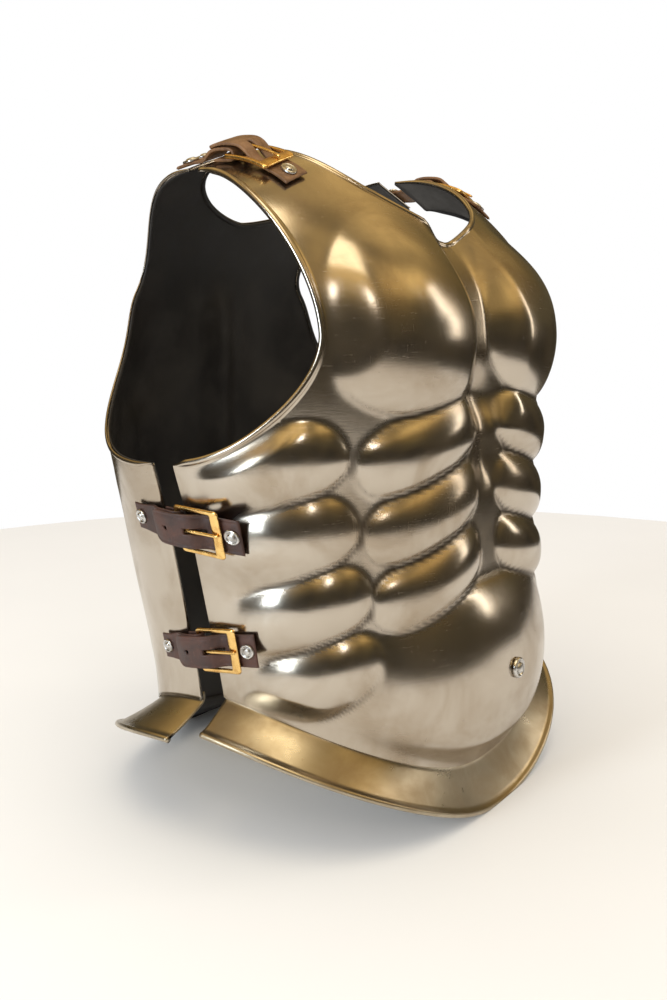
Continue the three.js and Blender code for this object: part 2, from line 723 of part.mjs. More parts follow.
function roundedRectangle(left, right, half, radius) {
  const shape = new THREE.Shape();
  shape.moveTo(left + radius, -half);
  shape.lineTo(right - radius, -half);
  shape.quadraticCurveTo(right, -half, right, radius - half);
  shape.lineTo(right, half - radius);
  shape.quadraticCurveTo(right, half, right - radius, half);
  shape.lineTo(left + radius, half);
  shape.quadraticCurveTo(left, half, left, half - radius);
  shape.lineTo(left, radius - half);
  shape.quadraticCurveTo(left, -half, left + radius, -half);
  return shape;
}

// The prong hooks round the heel bar and lies on the front bar.
function prong(heel) {
  const front = heel - BUCKLE.length;
  const radius = BAR_HALF + GAP + PRONG.thickness / 2;
  const onBar = BAR_LIFT + BUCKLE.depth / 2 + GAP + PRONG.thickness / 2;
  const line = [
    ...arc(heel, BAR_LIFT, radius, -60, 110, 5),
    [heel - 12, BAR_LIFT + radius + 0.4],
    [front + 8, onBar + 0.6],
    [front - 3, onBar],
  ];
  return ribbon(line, PRONG.thickness, PRONG.width);
}

// Rivet or eyelet head: a domed stud inside a raised ring.
function studHead(radius, rise, sides) {
  const profile = [
    [0, 0],
    [radius, 0],
    [radius * 0.86, rise * 0.6],
    [radius * 0.56, rise * 0.4],
    [radius * 0.34, rise * 0.9],
    [0, rise],
  ].map(([x, y]) => new THREE.Vector2(x, y));
  return new THREE.LatheGeometry(profile, sides).rotateX(Math.PI / 2);
}

function rivet(along, across, lift) {
  return studHead(RIVET.radius, RIVET.height, RIVET.sides).translate(along, across, lift);
}

function strapPieces(place, { heel, front, tail, end, billetRivets, chapeRivets }) {
  const onLeather = STRAP.clearance + LEATHER + GAP;
  const pieces = {
    chape: bend(chape(heel, end), place),
    billet: bend(billet(heel, front, tail), place),
    buckle_frame: bend(buckleFrame(heel), place),
    buckle_prong: bend(prong(heel), place),
  };
  billetRivets.forEach(([along, across], k) => {
    pieces[`billet_rivet_${k + 1}`] = bend(rivet(along, across, onLeather), place);
  });
  chapeRivets.forEach(([along, across], k) => {
    pieces[`chape_rivet_${k + 1}`] = bend(rivet(along, across, onLeather), place);
  });
  return pieces;
}

// ---------------------------------------------------------------- the assembly

const cuirass = new THREE.Group();
cuirass.name = "cuirass";

function addPiece(name, geometry, material) {
  const mesh = new THREE.Mesh(geometry, new THREE.MeshStandardMaterial(MATERIALS[material]));
  mesh.name = name;
  cuirass.add(mesh);
}

function addStrap(prefix, pieces, leather) {
  for (const [name, geometry] of Object.entries(pieces)) {
    const metal = name.startsWith("buckle") ? "brass" : "nickel";
    addPiece(`${prefix}_${name}`, geometry, name === "chape" || name === "billet" ? leather : metal);
  }
}

addPiece("breastplate", plateShell(BREAST), "steel");
addPiece("backplate", plateShell(BACK), "steel");
addPiece("breast_flange", flangeShell(BREAST), "flange");
addPiece("back_flange", flangeShell(BACK), "flange");

const navelSeat = platePoint(BREAST, 0, NAVEL.height, 0.5);
const navelFacing = embossedNormal(BREAST, 0, NAVEL.height);
const navelStud = studHead(NAVEL.radius, NAVEL.rise, NAVEL.sides);
navelStud.applyQuaternion(new THREE.Quaternion().setFromUnitVectors(new THREE.Vector3(0, 0, 1), navelFacing));
addPiece("navel_stud", weld(navelStud.translate(...navelSeat.toArray())), "nickel");

for (const [sideName, side] of [["right", -1], ["left", 1]]) {
  for (const strap of SIDE_STRAPS) {
    const layout = {
      heel: strap.heel,
      front: strap.heel - 46,
      tail: strap.heel + 19.2,
      end: 38,
      billetRivets: [[strap.heel - 39.5, 0]],
      chapeRivets: [[31.5, 0]],
    };
    addStrap(`${sideName}_${strap.name}`, strapPieces(sidePlace(side, strap), layout), "leather");
  }
  const heel = SHOULDER_STRAP.heel;
  const layout = {
    heel,
    front: heel - 47,
    tail: heel + 19.2,
    end: 27,
    billetRivets: [[heel - 40, 0]],
    chapeRivets: [
      [13, -6.5],
      [21, 0],
      [13, 6.5],
    ],
  };
  addStrap(`${sideName}_shoulder`, strapPieces(shoulderPlace(side), layout), "tan");
}

export default cuirass;
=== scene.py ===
"""Steel muscle cuirass: an embossed breastplate and backplate with flared lower flanges,
joined at the sides and over the shoulders by leather straps with brass buckles.

The chest faces -Y, the wearer's left side is +X and the lower rims rest on z = 0.
Shapes are worked out in millimetres and handed to Blender in metres.
"""
import math
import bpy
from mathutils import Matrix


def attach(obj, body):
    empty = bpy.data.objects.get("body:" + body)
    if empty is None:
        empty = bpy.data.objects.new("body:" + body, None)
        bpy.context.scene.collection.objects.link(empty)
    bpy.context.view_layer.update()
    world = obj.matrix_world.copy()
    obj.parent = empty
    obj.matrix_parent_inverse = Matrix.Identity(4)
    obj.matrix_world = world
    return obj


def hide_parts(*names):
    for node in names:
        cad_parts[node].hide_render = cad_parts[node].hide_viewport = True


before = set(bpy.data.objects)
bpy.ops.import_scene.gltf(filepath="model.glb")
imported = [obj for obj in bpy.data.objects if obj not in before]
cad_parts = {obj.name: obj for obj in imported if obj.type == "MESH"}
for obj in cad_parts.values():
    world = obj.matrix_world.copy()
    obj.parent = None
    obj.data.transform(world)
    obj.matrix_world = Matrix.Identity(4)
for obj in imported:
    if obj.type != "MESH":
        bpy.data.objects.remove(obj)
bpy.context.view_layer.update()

from types import SimpleNamespace

import bpy
import numpy as np
from mathutils import Matrix, Vector

bl_info = {
    "name": "Muscle cuirass",
    "version": (1, 0, 0),
    "blender": (4, 5, 0),
    "location": "View3D > Sidebar > Cuirass",
    "description": "Builds a steel muscle cuirass with leather straps and brass buckles",
    "category": "Add Mesh",
}

MM = 1000.0

# ---------------------------------------------------------------- shape tables, in mm

SECTION_POWER = 2.4
SEAM_Y = 10.9
SEAM_LEVEL = 280.0
LEAN = 0.055
ROUND = 155.0                 # mm for each radian of turn

# Level sections: height, half the width, and how far chest and back stand from the seam plane.
SECTIONS = np.array([
    (32, 171, 132, 133),
    (95, 168, 143, 134),
    (165, 177, 139, 138),
    (235, 188, 137.5, 141),
    (300, 202, 141.5, 136),
    (355, 205, 147, 129.5),
    (405, 204.5, 134, 121.5),
    (445, 187, 104.5, 97),
    (475, 128.5, 77.5, 63),
    (495, 71.5, 51, 36),
    (508, 46, 24.5, 16),
])

# Embossed muscles of one half: turn from the plate's centre in degrees, height, reach towards the
# centre, the side, up and down, tilt of the outer end, rise, softness of the lower, upper and
# outer edges, and squareness.
CHEST_MUSCLES = [
    (33, 356, 77, 62, 96, 54, 0, 15, 0.72, 2.0, 0.9, 2.1),
    (29, 279, 64, 56, 28, 24, 17, 13, 0.74, 0.8, 0.74, 2.6),
    (28, 231, 64, 56, 28, 24, 17, 13, 0.74, 0.8, 0.74, 2.6),
    (27, 184, 62, 56, 27, 24, 17, 13, 0.74, 0.8, 0.74, 2.6),
    (63, 273, 35, 62, 28, 24, 22, 10.5, 0.74, 0.8, 1.8, 2.3),
    (62, 223, 37, 66, 28, 25, 24, 10.5, 0.74, 0.8, 1.8, 2.3),
    (60, 174, 40, 72, 27, 24, 25, 10.5, 0.74, 0.8, 1.8, 2.3),
    (58, 126, 42, 76, 27, 25, 25, 10.5, 0.74, 0.8, 1.8, 2.3),
    (0, 104, 160, 160, 71, 84, 0, 16, 0.7, 0.62, 1.2, 2.4),
]
BACK_MUSCLES = [
    (38, 352, 72, 74, 84, 70, 0, 9, 1.2, 2.0, 1.6, 2.5),
    (32, 200, 66, 90, 96, 120, 0, 6, 1.2, 1.6, 1.8, 2.5),
]

# Straps: name, height at the seam, slope, place of the heel bar towards the back.
SIDE_STRAPS = [("upper", 230.0, 0.06, -10.0), ("lower", 139.0, -0.16, -7.0)]
SHOULDER_X = 126.0
SHOULDER_HEEL = -26.0
CLEARANCE = 1.5               # air under a strap
GAP = 0.3                     # air between neighbouring pieces
NAVEL_HEIGHT = 106.0
VALLEY = 1.8                  # how far two muscles blend where they meet
RIM_STEPS = 13                # faces round a rolled rim
PAINTED_FROM = 0.66           # share of the rim, from the outside, where the paint begins


# ---------------------------------------------------------------- small helpers

def mix(a, b, t):
    return a + (b - a) * t


def smoothstep(low, high, value):
    t = np.clip((value - low) / (high - low), 0.0, 1.0)
    return t * t * (3 - 2 * t)


def unit(vectors):
    return vectors / np.maximum(np.linalg.norm(vectors, axis=-1, keepdims=True), 1e-12)


def natural_spline(x, y):
    """Natural cubic spline through the points, as a function of an array."""
    n = len(x)
    system = np.zeros((n, n))
    right = np.zeros(n)
    system[0, 0] = system[-1, -1] = 1
    for i in range(1, n - 1):
        before, after = x[i] - x[i - 1], x[i + 1] - x[i]
        system[i, i - 1:i + 2] = before / 6, (before + after) / 3, after / 6
        right[i] = (y[i + 1] - y[i]) / after - (y[i] - y[i - 1]) / before
    bend = np.linalg.solve(system, right)

    def value(at):
        at = np.asarray(at, float)
        i = np.clip(np.searchsorted(x, at, side="left") - 1, 0, n - 2)
        h = x[i + 1] - x[i]
        a = (x[i + 1] - at) / h
        b = (at - x[i]) / h
        curve = (a ** 3 - a) * bend[i] + (b ** 3 - b) * bend[i + 1]
        return a * y[i] + b * y[i + 1] + curve * h * h / 6

    return value


def seam_plane(height):
    return SEAM_Y + LEAN * (height - SEAM_LEVEL)


def bisect(inside, low, high, shape):
    low = np.full(shape, float(low))
    high = np.full(shape, float(high))
    for _ in range(40):
        middle = (low + high) / 2
        within = inside(middle)
        low = np.where(within, middle, low)
        high = np.where(within, high, middle)
    return (low + high) / 2


HALF_WIDTH = natural_spline(SECTIONS[:, 0], SECTIONS[:, 1])

# The two plates. reach, edge and shoulder are distances from the seam plane. columns, rows and
# split lay out the mesh: split is where the waist's grid ends and the chest's begins. A furrow
# has its depth, half the width of its floor and of its brim, lower end, upper end and fade.
BREAST = SimpleNamespace(
    facing=-1,
    depth=natural_spline(SECTIONS[:, 0], SECTIONS[:, 2]),
    edge=(15.0, 11.0),
    arm=SimpleNamespace(bottom=271.5, middle=357.0, reach=111.0, shoulder=6.0, outer_x=146.0,
                        power=1.85, lower_power=1.85),
    neck=SimpleNamespace(bottom=426.0, half_width=97.0, widening=1.334, dip=1.98),
    seam=(32.5, 104.0, 2.35),
    flange_out=(17.0, 26.0),
    flange_down=(32.5, 17.5),
    columns=(34, 90),
    rows=(90, 54, 42),
    split=(50.0, 306.0),
    muscles=CHEST_MUSCLES,
    furrows=[(11.0, 9.0, 48.0, 312.0, 600.0, 30.0), (6.0, 0.0, 26.0, 268.0, 345.0, 36.0)],
)
BACK = SimpleNamespace(
    facing=1,
    depth=natural_spline(SECTIONS[:, 0], SECTIONS[:, 3]),
    edge=(8.0, 8.0),
    arm=SimpleNamespace(bottom=272.0, middle=392.0, reach=114.0, shoulder=9.0, outer_x=142.0,
                        power=1.92, lower_power=3.2),
    neck=SimpleNamespace(bottom=451.0, half_width=92.0, widening=1.4, dip=1.6),
    seam=(20.5, 96.0, 2.35),
    flange_out=(31.0, 34.0),
    flange_down=(20.5, 17.5),
    columns=(28, 66),
    rows=(64, 44, 38),
    split=(55.0, 306.0),
    muscles=BACK_MUSCLES,
    furrows=[(8.0, 0.0, 30.0, 110.0, 415.0, 40.0)],
)


# ---------------------------------------------------------------- the body's surface

def base_point(plate, turn, height):
    s = np.abs(np.sin(turn)) / HALF_WIDTH(height)
    c = np.abs(np.cos(turn)) / plate.depth(height)
    r = (s ** SECTION_POWER + c ** SECTION_POWER) ** (-1 / SECTION_POWER)
    y = seam_plane(height) + plate.facing * r * np.cos(turn)
    return np.stack([r * np.sin(turn), y, height + 0 * r], axis=-1)


def pillow(muscle, turn, height):
    place, level, medial, lateral, up, down, tilt, rise, edge, top_edge, side_edge, square = muscle
    across = ROUND * (np.abs(turn) - math.radians(place))
    above = height - level
    tilt = math.radians(tilt)
    along = across * math.cos(tilt) - above * math.sin(tilt)
    over = across * math.sin(tilt) + above * math.cos(tilt)
    a = along / np.where(along < 0, medial, lateral)
    b = over / np.where(over < 0, down, up)
    reach = (np.abs(a) ** square + np.abs(b) ** square) ** (1 / square)
    near = np.maximum(reach, 1e-6)
    softness = mix(edge, top_edge, smoothstep(0.1, 0.9, b / near))
    softness = mix(softness, side_edge, smoothstep(0.2, 0.95, a / near))
    dome = rise * np.maximum(1 - reach * reach, 1e-9) ** softness
    return np.where(reach >= 1, -20 * (reach - 1), dome)


def smooth_max(a, b, valley):
    near = np.maximum(valley - np.abs(a - b), 0)
    return np.maximum(a, b) + near * near / (4 * valley)


def shoulder_height(plate):
    return float(surface_height(plate, np.array([plate.arm.outer_x]), np.array([plate.arm.shoulder]))[0])


def arm_ratio(plate, point):
    """How far outside the armhole's outline a point is: 1 on the outline."""
    arm = plate.arm
    distance = np.abs(point[..., 1] - seam_plane(point[..., 2]))
    upper = point[..., 2] > arm.middle
    span = np.where(upper, plate.shoulder_height - arm.middle, arm.middle - arm.bottom)
    power = np.where(upper, arm.power, arm.lower_power)
    level = np.abs(point[..., 2] - arm.middle) / span
    return ((distance / arm.reach) ** power + level ** power) ** (1 / power)


def seam_level(plate, turn):
    centre, side, power = plate.seam
    return mix(centre, side, np.abs(np.sin(turn)) ** power)


def relief(plate, turn, height):
    rise = np.zeros(np.broadcast(turn, height).shape)
    for muscle in plate.muscles:
        rise = smooth_max(rise, pillow(muscle, turn, height), VALLEY)
    for depth, floor, brim, low, high, fade in plate.furrows:
        upto = smoothstep(low - fade, low, height) * (1 - smoothstep(high - fade, high, height))
        rise = rise - depth * upto * (1 - smoothstep(floor, brim, ROUND * np.abs(turn)))
    above_seam = smoothstep(0, 26, height - seam_level(plate, turn))
    beside_arm = smoothstep(1.0, 1.16, arm_ratio(plate, base_point(plate, turn, height)))
    return rise * above_seam * beside_arm


def crease_depth(plate, turn, height):
    """How deep a point lies in a crease, from 0 on open ground to 1 at the bottom of a sharp one."""
    reach = 6.0
    around = [(reach, 0), (-reach, 0), (0, reach), (0, -reach)]
    beside = [relief(plate, turn + along / ROUND, height + up) for along, up in around]
    bend = sum(beside) / len(beside) - relief(plate, turn, height)
    return smoothstep(0.3, 2.0, bend)


def surface_normal(plate, surface, turn, height):
    dt, dz = 0.003, 0.45
    around = surface(turn + dt, height) - surface(turn - dt, height)
    up = surface(turn, height + dz) - surface(turn, height - dz)
    return -plate.facing * unit(np.cross(around, up))


def base_normal(plate, turn, height):
    return surface_normal(plate, lambda t, h: base_point(plate, t, h), turn, height)


def embossed_point(plate, turn, height):
    lift = relief(plate, turn, height)[..., None]
    return base_point(plate, turn, height) + base_normal(plate, turn, height) * lift


def embossed_normal(plate, turn, height):
    return surface_normal(plate, lambda t, h: embossed_point(plate, t, h), turn, height)


def inside_section(plate, x, distance, height):
    s = np.abs(x) / HALF_WIDTH(height)
    c = np.abs(distance) / plate.depth(height)
    return s ** SECTION_POWER + c ** SECTION_POWER < 1


def surface_height(plate, x, distance):
    shape = np.broadcast(x, distance).shape
    return bisect(lambda height: inside_section(plate, x, distance, height), 400, 508, shape)


def turn_at_distance(plate, distance, height):
    share = np.minimum(1, distance / plate.depth(height))
    x = HALF_WIDTH(height) * (1 - share ** SECTION_POWER) ** (1 / SECTION_POWER)
    return np.arctan2(x, distance)


def turn_at_x(plate, x, height):
    share = np.minimum(1, x / HALF_WIDTH(height))
    distance = plate.depth(height) * (1 - share ** SECTION_POWER) ** (1 / SECTION_POWER)
    return np.arctan2(x, distance)


for each_plate in (BREAST, BACK):
    each_plate.shoulder_height = shoulder_height(each_plate)


# ---------------------------------------------------------------- outlines of a half plate

def evenly(plate, curve, start, end, steps):
    """Equal steps along a curve that gives (turn, height) for an array of parameters."""
    fine = np.linspace(start, end, 801)
    turn, height = curve(fine)
    points = base_point(plate, turn, height)
    walk = np.concatenate([[0], np.cumsum(np.linalg.norm(np.diff(points, axis=0), axis=1))])
    at = np.interp(np.linspace(0, walk[-1], steps + 1), walk, fine)
    at[0], at[-1] = start, end
    return np.stack(curve(at), axis=-1)


def side_edge(plate, t):
    height = mix(plate.seam[1], plate.arm.bottom, t)
    return turn_at_distance(plate, mix(plate.edge[0], plate.edge[1], t), height), height


def arm_edge(plate, degrees):
    """Armhole, from the side edge (0) round the front to the shoulder (180)."""
    arm = plate.arm
    upper = degrees > 90
    power = np.where(upper, arm.power, arm.lower_power)
    end = np.where(upper, arm.shoulder, plate.edge[1])
    sweep = np.radians(degrees)
    distance = mix(end, arm.reach, np.abs(np.sin(sweep)) ** (2 / power))
    rise = np.abs(np.cos(sweep)) ** (2 / power)
    span = np.where(upper, plate.shoulder_height - arm.middle, arm.bottom - arm.middle)
    height = arm.middle + span * rise
    return turn_at_distance(plate, distance, height), height


def neck_edge(plate, t):
    """Half of the neck opening, from the centre line (0) to the shoulder (1)."""
    neck = plate.neck
    sweep = t * math.pi / 2
    top = float(surface_height(plate, np.array([neck.half_width]), np.array([plate.arm.shoulder]))[0])
    x = neck.half_width * np.maximum(np.sin(sweep), 0) ** (2 / neck.widening)
    height = top - (top - neck.bottom) * np.abs(np.cos(sweep)) ** (2 / neck.dip)
    return turn_at_x(plate, x, height), height


def straight(start, end, steps):
    t = np.linspace(0, 1, steps + 1)[:, None]
    return mix(np.asarray(start)[None], np.asarray(end)[None], t)


def fill_patch(left, right, bottom, top):
    """Grid of turns and heights filled in between four edges (a Coons patch)."""
    v = np.linspace(0, 1, len(left))[:, None, None]
    u = np.linspace(0, 1, len(bottom))[None, :, None]
    low = mix(bottom[0], bottom[-1], u)
    high = mix(top[0], top[-1], u)
    across = mix(left[:, None], right[:, None], u)
    return across + mix(bottom[None], top[None], v) - mix(low, high, v)


def half_grids(plate):
    (side_columns, chest_columns), (waist_rows, chest_rows, neck_rows) = plate.columns, plate.rows
    sweep, split_height = plate.split
    side = evenly(plate, lambda t: side_edge(plate, t), 0, 1, waist_rows)
    arm_low = evenly(plate, lambda d: arm_edge(plate, d), 0, sweep, side_columns)
    arm_high = evenly(plate, lambda d: arm_edge(plate, d), sweep, 180, chest_rows + neck_rows)
    belt = straight(arm_low[-1], (0, split_height), chest_columns)
    turns = np.linspace(side[0][0], 0, side_columns + chest_columns + 1)
    hem = np.stack([turns, seam_level(plate, turns)], axis=-1)
    hem[0] = side[0]
    centre_low = straight(hem[-1], belt[-1], waist_rows)
    centre_high = straight(belt[-1], (0, plate.neck.bottom), chest_rows)
    neck = evenly(plate, lambda t: neck_edge(plate, t), 0, 1, neck_rows)
    inner = np.concatenate([centre_high, neck[1:]])
    waist = fill_patch(side, centre_low, hem, np.concatenate([arm_low, belt[1:]]))
    chest = fill_patch(arm_high, inner, belt, straight(arm_high[-1], inner[-1], chest_columns))
    return waist, chest


# ---------------------------------------------------------------- mesh building

class Shell:
    """Collects faces as corner points, then welds them into one mesh."""

    def __init__(self):
        self.corners = []
        self.slots = []
        self.values = []

    def add(self, quads, slot=0, values=None):
        """quads is (count, 4, 3) points; values is (count, 4, k) numbers kept at the corners."""
        self.corners.append(quads.reshape(-1, 4, 3))
        count = len(self.corners[-1])
        self.slots.append(np.full(count, slot) if np.isscalar(slot) else np.asarray(slot).ravel())
        if values is None:
            values = np.zeros((count, 4, 2))
        self.values.append(values.reshape(-1, 4, values.shape[-1]))

    def grid(self, points, slot=0, flip=False, closed=False, values=None):
        """A grid (rows, columns, 3) of points as quads."""
        if closed:
            points = np.concatenate([points, points[:, :1]], axis=1)
        quads = cells(points, flip)
        slot = slot if np.isscalar(slot) else np.asarray(slot)
        if values is not None:
            values = cells(values, flip).reshape(-1, 4, values.shape[-1])
        self.add(quads, slot, values)

    def mesh(self, name, outward=True):
        corners = np.concatenate(self.corners)
        slots = np.concatenate(self.slots)
        values = np.concatenate(self.values)
        flat = corners.reshape(-1, 3)
        _, first, index = np.unique(np.round(flat * 2000).astype(np.int64), axis=0,
                                    return_index=True, return_inverse=True)
        index = index.reshape(-1, 4)
        points = flat[first]
        faces, kept = [], []
        for k, face in enumerate(index.tolist()):
            ring = [v for n, v in enumerate(face) if v != face[n - 1]]
            if len(set(ring)) >= 3 and len(set(ring)) == len(ring):
                faces.append(ring)
                kept.append(k)
        mesh = bpy.data.meshes.new(name)
        mesh.from_pydata((points / MM).tolist(), [], faces)
        mesh.polygons.foreach_set("material_index", slots[kept].astype(np.int32))
        layer = mesh.uv_layers.new(name="flat")
        spread = []
        for k, face in zip(kept, faces):
            given = {v: values[k][n][:2] for n, v in enumerate(index[k].tolist())}
            spread.extend(given[v] for v in face)
        layer.data.foreach_set("uv", np.asarray(spread, np.float32).ravel())
        mesh.update()
        if outward and signed_volume(points, faces) < 0:
            mesh.flip_normals()
        mesh.shade_smooth()
        return mesh


def cells(points, flip):
    ring = [points[:-1, :-1], points[:-1, 1:], points[1:, 1:], points[1:, :-1]]
    if flip:
        ring = ring[::-1]
    return np.stack(ring, axis=2).reshape(-1, 4, points.shape[-1])


def signed_volume(points, faces):
    total = 0.0
    fans = [(f[0], f[k], f[k + 1]) for f in faces for k in range(1, len(f) - 1)]
    corner = points[np.array(fans)]
    total = np.einsum("ij,ij->i", corner[:, 0], np.cross(corner[:, 1], corner[:, 2])).sum()
    return total / 6


def add_piece(name, mesh, materials, nodes, slot):
    """Puts a finished piece on the body in place of its plain solids."""
    piece = bpy.data.objects.new(name, mesh)
    bpy.context.scene.collection.objects.link(piece)
    for material in materials:
        mesh.materials.append(material)
    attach(piece, "root")
    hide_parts(*nodes)
    return piece


def rim_profile(outer, inner, outward, bead, radius, steps):
    """Points round a sheet's rim from its outer face to its inner face: bead 0 is a plain rounded
    edge, 1 a full rolled bead. Arrays of points give (points, profile, 3)."""
    middle = (outer + inner) / 2
    normal = unit(outer - inner)
    half = float(np.linalg.norm(outer[0] - inner[0])) / 2
    start = math.asin(half / radius)
    t = np.linspace(0, 1, steps + 2)[1:-1]
    plain = math.pi * (0.5 - t)
    rolled = mix(math.pi - start, start - math.pi, t)
    bead = np.asarray(bead)[:, None]
    out = mix(half * np.cos(plain), radius * (np.cos(rolled) + math.cos(start)), bead)
    up = mix(half * np.sin(plain), radius * np.sin(rolled), bead)
    ring = middle[:, None] + outward[:, None] * out[..., None] + normal[:, None] * up[..., None]
    return np.concatenate([outer[:, None], ring, inner[:, None]], axis=1)


# ---------------------------------------------------------------- the plates

def plate_mesh(name, plate, sizes):
    """Steel outside, black paint inside, and a rolled bead round the arms and the neck."""
    sheet, radius = sizes.sheet * MM, sizes.bead_radius * MM
    waist, chest = half_grids(plate)
    shell = Shell()
    halves = []
    for side in (1, -1):
        grids = []
        for grid in (waist, chest):
            turn, height = side * grid[..., 0], grid[..., 1]
            normal = embossed_normal(plate, turn, height)
            outer = embossed_point(plate, turn, height)
            grids.append((outer, outer - normal * sheet, normal))
            # The crease depth is kept at the corners so that the steel's colour can paint shade into the
            # creases.
            painted_crease_shade = crease_depth(plate, turn, height)
            shell.grid(outer, 0, side < 0, values=np.stack([painted_crease_shade, 0 * painted_crease_shade], axis=-1))
            shell.grid(outer - normal * sheet, 1, side > 0)
        halves.append(grids)
    right = half_rim(plate, halves[0])
    left = half_rim(plate, halves[1])
    outer, inner, normal = (np.concatenate([right[k], left[k][1:-1][::-1]]) for k in range(3))
    bead = np.concatenate([right[3], left[3][1:-1][::-1]])
    outward = unit(np.cross(np.roll(outer, -1, axis=0) - np.roll(outer, 1, axis=0), normal))
    rim = rim_profile(outer, inner, outward, bead, radius, RIM_STEPS)
    rim = np.concatenate([rim, rim[:1]])
    painted = (np.arange(RIM_STEPS + 1) > PAINTED_FROM * RIM_STEPS).astype(int)
    shell.grid(rim, np.broadcast_to(painted, (len(rim) - 1, RIM_STEPS + 1)), True)
    return shell.mesh(name)


def half_rim(plate, grids):
    """A half plate's edge from the bottom centre round to the bottom of the neck, with how far it
    is rolled into a bead at each point."""
    (waist, chest) = grids
    top = len(chest[0]) - 1
    arm = plate.columns[0]
    rows = plate.rows[1]

    def ease(j):
        return 1 - 0.6 * smoothstep(top - 8, top, j)

    parts = []
    for k in range(3):
        low, high = waist[k], chest[k]
        parts.append(np.concatenate([
            low[0][::-1], low[1:, 0], low[-1, 1:arm + 1], high[1:, 0], high[top, 1:-1],
            high[rows:, -1][::-1],
        ]))
    hem_and_side = len(waist[0][0]) + len(waist[0]) - 1
    bead = np.concatenate([
        np.zeros(hem_and_side),
        smoothstep(0, 5, np.arange(1, arm + 1)),
        ease(np.arange(1, top + 1)),
        np.full(len(chest[0][0]) - 2, 0.4),
        ease(np.arange(rows, top + 1))[::-1],
    ])
    return parts[0], parts[1], parts[2], bead


def flange_mesh(name, plate, sizes):
    """Flared strip below a plate, with a lip behind the plate's edge and a rolled rim."""
    sheet, radius = sizes.sheet * MM, sizes.bead_radius * MM
    side = float(side_edge(plate, np.array([0.0]))[0][0])
    turn = np.linspace(-side, side, 261)
    height = seam_level(plate, turn) - 1
    share = np.sin(turn) ** 2
    out = mix(plate.flange_out[0], plate.flange_out[1], share)
    down = mix(plate.flange_down[0], plate.flange_down[1], share) - 1 - radius * 0.3
    level = base_normal(plate, turn, height)
    level[:, 2] = 0
    level = unit(level)
    upright = np.array([0.0, 0.0, 1.0])
    along = unit(level * out[:, None] - upright * down[:, None])
    above = unit(level * down[:, None] + upright * out[:, None])
    behind = -(sheet + 3 * GAP)
    bend = embossed_point(plate, turn, height) + embossed_normal(plate, turn, height) * behind
    lip, rounding, hollow = 7.0, 4.0, 0.7
    top = (embossed_point(plate, turn, height + lip)
           + embossed_normal(plate, turn, height + lip) * behind)
    strip = np.hypot(out, down)
    line = [top, mix(top, bend, 1 - rounding / lip)]
    facing = [level, level]
    up_way = unit(top - bend)
    for t in (0.25, 0.5, 0.75):
        a, b = bend + up_way * rounding, bend + along * rounding
        line.append(a * (1 - t) ** 2 + bend * 2 * t * (1 - t) + b * t * t)
        facing.append(unit(mix(level, above, t)))
    for t in np.linspace(0, 1, 9):
        reach = mix(rounding, strip, t)
        line.append(bend + along * reach[:, None] - above * hollow * math.sin(math.pi * t))
        facing.append(above)
    edge = line[-1]
    rim = rim_profile(edge, edge - above * sheet, along, np.ones(len(edge)), radius, 12)
    steps = rim.shape[1]
    under = [p - f * sheet for p, f in zip(line, facing)]
    profile = np.stack(line + [rim[:, k] for k in range(1, steps - 1)] + under[::-1], axis=1)
    profile[..., 2] = np.maximum(profile[..., 2], 0)
    count = profile.shape[1]
    painted = np.zeros(count, int)
    painted[len(line) + int(steps * 0.75):] = 1
    shell = Shell()
    shell.grid(profile, np.broadcast_to(painted, (len(profile) - 1, count)), closed=True)
    for end, flip in ((profile[0], True), (profile[-1], False)):
        outside = end[:len(line)]
        inside = np.stack([nearest(point, end[len(line):]) for point in outside])
        shell.grid(np.stack([outside, inside]), 0, flip)
        ring = end[len(line) - 1:len(line) + steps - 1]
        fan = np.broadcast_to(ring.mean(axis=0), ring.shape)
        shell.grid(np.stack([ring, fan]), 0, flip)
    return shell.mesh(name, outward=False)


def nearest(point, others):
    return others[np.argmin(np.linalg.norm(others - point, axis=1))]


# ---------------------------------------------------------------- straps and buckles

# Straps are drawn flat as (along, across, lift) and bent over the body: a place turns such points
# into ones standing off the surface by their lift.

def side_place(side, height_at_seam, slope, half_width):
    def place(points):
        along, across, lift = points[:, 0], points[:, 1], points[:, 2]
        height = height_at_seam + across + slope * along
        middle = height_at_seam + slope * along
        result = np.zeros_like(points)
        for plate, mine in ((BREAST, along < 0), (BACK, along >= 0)):
            if not mine.any():
                continue
            turn = turn_at_distance(plate, np.abs(along[mine]), height[mine])
            normal = base_normal(plate, turn, height[mine])
            normal[:, 2] = 0
            normal = unit(normal)
            swell = np.max([relief(plate, turn, middle[mine] + offset)
                            for offset in (-half_width, 0, half_width)], axis=0)
            result[mine] = base_point(plate, turn, height[mine]) + normal * (lift[mine] + swell)[:, None]
        result[:, 0] *= side
        return result
    return place


def shoulder_place(side):
    def height_at(x, along):
        return np.where(along < 0, surface_height(BREAST, x, np.abs(along)),
                        surface_height(BACK, x, np.abs(along)))

    def place(points):
        along, across, lift = points[:, 0], points[:, 1], points[:, 2]
        centre = np.full(len(points), SHOULDER_X)
        fall = height_at(centre - 1, along) - height_at(centre, along)
        x = centre + across / np.hypot(1, fall)
        height = height_at(x, along)
        slope_x = (height_at(x + 1, along) - height_at(x - 1, along)) / 2
        slope_y = (height_at(x, along + 1) - height_at(x, along - 1)) / 2
        normal = unit(np.stack([-slope_x, -slope_y, np.ones(len(points))], axis=-1))
        result = np.stack([x, seam_plane(height) + along, height], axis=-1) + normal * lift[:, None]
        result[:, 0] *= side
        return result
    return place


def bent(shell, place):
    """The shell with every corner bent over the body."""
    result = Shell()
    for corners, slots, values in zip(shell.corners, shell.slots, shell.values):
        result.add(place(corners.reshape(-1, 3)).reshape(corners.shape), slots, values)
    return result


